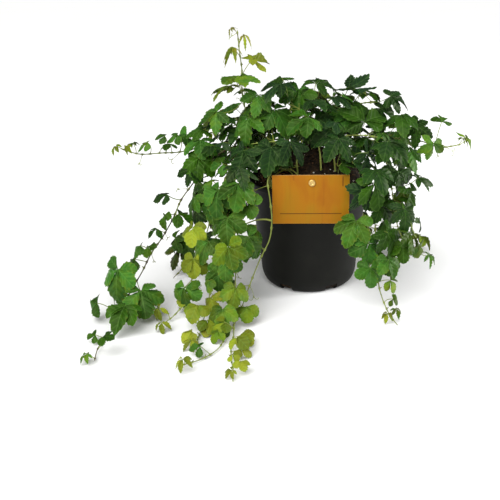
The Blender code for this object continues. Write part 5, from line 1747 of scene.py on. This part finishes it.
def green_stem():
    """Light green to reddish brown, with a fine grain along it."""
    material, tree, shader = new_material("green stem")
    marks = marks_of(tree, "age")
    place = place_of(tree)
    fresh = ramp(tree, marks["X"], (
        (0.0, (0.11, 0.17, 0.025)), (0.5, (0.20, 0.26, 0.035)), (1.0, (0.32, 0.36, 0.06)),
    ))
    blotch = in_range(tree, noise_at(tree, place, 150, 3), 0.3, 0.65, 0.55, 1.15)
    brown = reckon(tree, "MULTIPLY", marks["Y"], blotch)
    set_finish(tree, shader, mixed(tree, brown, fresh, (0.045, 0.020, 0.012)), 0.5)
    set_bump(tree, shader, noise_at(tree, place, 1300, 3), 0.3, 0.2)
    return material


leaf_materials = (leaf_top(), leaf_underside(), green_stem())


def settle_leaves(name, curve, length, leaves):
    """Moves each stalk's foot onto the smooth stem, and says what the leaf is like there."""
    opening_length = OPENING_LENGTH_TALL if name == "stem_tall" else OPENING_LENGTH
    for leaf in leaves:
        leaf.foot, leaf.share = min(curve, key=lambda knot: (knot[0] - leaf.foot).length)
        near_tip = (1 - leaf.share) * length < opening_length
        leaf.opening = near_tip and leaf.reach < OPENING_REACH
        leaf.slender = name in SLENDER_STEMS


def tendril_way(curve, leaf):
    """The way that a tendril leaves the stem: opposite the leaf's stalk, and on along the stem."""
    index = min(range(len(curve)), key=lambda at: abs(curve[at][1] - leaf.share))
    before, after = curve[max(0, index - 1)][0], curve[min(index + 1, len(curve) - 1)][0]
    along = (after - before).normalized()
    away = leaf.foot - leaf.centre
    away = (away - along * away.dot(along)).normalized()
    return (away * TENDRIL_AWAY + along * TENDRIL_ALONG).normalized()


def make_vine(name, line, leaves, draw):
    """One leafy stem: the stem, the stubs at its knots, its leaves, its tendrils and bare stalks."""
    growth = Growth()
    curve, length = stem_curve(line), line_length(line)
    settle_leaves(name, curve, length, leaves)
    feet = [leaf.foot for leaf in leaves]
    knots = stem_knots(curve, length, feet, draw)
    stem_age = (STEM_YOUTH, AGES.get(name, USUAL_AGE)[2], GREEN_PAINTED_SHADE)
    growth.add_tube([point for point, _ in curve], stem_radii(curve, feet + knots), STEM_SIDES, stem_age)
    curls = random.Random(name + " curls")
    for knot in knots:
        way = Vector([draw.uniform(least, 1) for least in STUB_LEAST_WAY]).normalized()
        stub = [knot, knot + way * STUB_LENGTH * STUB_BEND, knot + way * STUB_LENGTH + UP * STUB_LIFT]
        growth.add_tube(stub, STUB_RADII, TENDRIL_SIDES, STUB_AGE)
        if curls.random() < KNOT_TENDRIL_SHARE and knot.z > KNOT_TENDRIL_LOWEST:
            add_tendril(growth, knot, way, curls)
    for leaf in leaves:
        growth.add_leaf(leaf, age_of(name, leaf, draw), draw)
        grips = draw.random() < TENDRIL_SHARE and leaf.share > TENDRIL_FROM
        if grips and TENDRIL_LOWEST < leaf.foot.z < TENDRIL_HIGHEST:
            add_tendril(growth, leaf.foot, tendril_way(curve, leaf), draw)
    for stalk in BARE_STALKS.get(name, ()):
        bend = stem_curve([Vector(point) for point in stalk])
        thins = [BARE_RADIUS + (BARE_TIP - BARE_RADIUS) * share for _, share in bend]
        growth.add_tube([point for point, _ in bend], thins, STEM_SIDES, BARE_AGE)
    obj = growth.as_object(name + "_vine")
    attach(obj, "root")
    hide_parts(name)


plant, room = grow_plant()
for turn, (least, start, closer, *sizes) in enumerate(INNER_LEAVES):
    for number, (name, (line, leaves)) in enumerate(plant.items()):
        high = max(place for place, point in enumerate(line) if point.z > least)
        line = line[:1 + (high if turn == 0 else min(high, round(len(line) * CROWN_SHARE)))]
        first, spacing = STEMS[name]["fill"][:2]
        small = (first + start, spacing * closer, *sizes)
        draw = random.Random(INNER_SEED + number + len(plant) * turn)
        fill_stem(room, name, line, leaves, small, draw)
for number, (name, (line, leaves)) in enumerate(plant.items()):
    make_vine(name, line, leaves, random.Random(LEAF_SEED + number))


# The set: a plain pale floor that the pot stands on, a broad soft key light, a soft box at the right,
# a pale room round them, and the camera, a little above the pot and in front of it.
FLOOR_SIDE = 30.0
FLOOR_DEEP, FLOOR_BELOW = 10.0, 0.05
CAMERA_PLACE = (0.0, -0.88267, 0.37467)
CAMERA_YAW, CAMERA_PITCH, CAMERA_ROLL = -4.638, 21.021, -1.667
CAMERA_LENS = 55.64
KEY_STRENGTH, KEY_WIDTH, KEY_TILT, KEY_TURN = 4.1, 64, 42, -28
BOX_PLACE, BOX_AIM, BOX_SIZE, BOX_POWER = (1.6, 0.1, 0.5), (0, 0, 0.12), (0.5, 1.2), 32
ROOM_COLOUR, ROOM_STRENGTH = (1.0, 1.0, 0.95, 1.0), 0.18


def pale_floor():
    material, tree, shader = new_material("pale floor")
    cloud = noise_at(tree, place_of(tree), 3, 2)
    set_finish(tree, shader, mixed(tree, cloud, (0.90, 0.90, 0.90), (0.92, 0.92, 0.92)), 0.9)
    return material


floor_size = (FLOOR_SIDE / MM, FLOOR_SIDE / MM, FLOOR_DEEP)
floor = box_object("floor", floor_size, (0, 0, -FLOOR_DEEP / 2 - FLOOR_BELOW))
floor.data.materials.append(pale_floor())


soft_key = bpy.data.lights.new("soft_key", "SUN")
soft_key.energy = KEY_STRENGTH
soft_key.angle = math.radians(KEY_WIDTH)
key = bpy.data.objects.new("soft_key", soft_key)
key.rotation_euler = (math.radians(KEY_TILT), 0, math.radians(KEY_TURN))
bpy.context.scene.collection.objects.link(key)

soft_box = bpy.data.lights.new("soft_box_right", "AREA")
soft_box.shape = "RECTANGLE"
soft_box.size, soft_box.size_y = BOX_SIZE
soft_box.energy = BOX_POWER
side_box = bpy.data.objects.new("soft_box_right", soft_box)
side_box.location = BOX_PLACE
side_box.rotation_euler = (Vector(BOX_AIM) - Vector(BOX_PLACE)).to_track_quat("-Z", "Y").to_euler()
bpy.context.scene.collection.objects.link(side_box)

world = bpy.data.worlds.new("white_room")
world.use_nodes = True
world.node_tree.nodes["Background"].inputs["Color"].default_value = ROOM_COLOUR
world.node_tree.nodes["Background"].inputs["Strength"].default_value = ROOM_STRENGTH
bpy.context.scene.world = world

yaw, pitch, roll = map(math.radians, (CAMERA_YAW, CAMERA_PITCH, CAMERA_ROLL))
ahead = Vector((math.sin(yaw) * math.cos(pitch), math.cos(yaw) * math.cos(pitch), -math.sin(pitch)))
level = Vector((math.cos(yaw), -math.sin(yaw), 0))
above = level.cross(ahead)
side = level * math.cos(roll) + above * math.sin(roll)
above = above * math.cos(roll) - level * math.sin(roll)
camera = bpy.data.objects.new("camera", bpy.data.cameras.new("camera"))
camera.data.lens = CAMERA_LENS
camera.matrix_world = Matrix((side, above, -ahead)).transposed().to_4x4()
camera.location = CAMERA_PLACE
bpy.context.scene.collection.objects.link(camera)
bpy.context.scene.camera = camera
bpy.context.scene.view_settings.view_transform = "Standard"
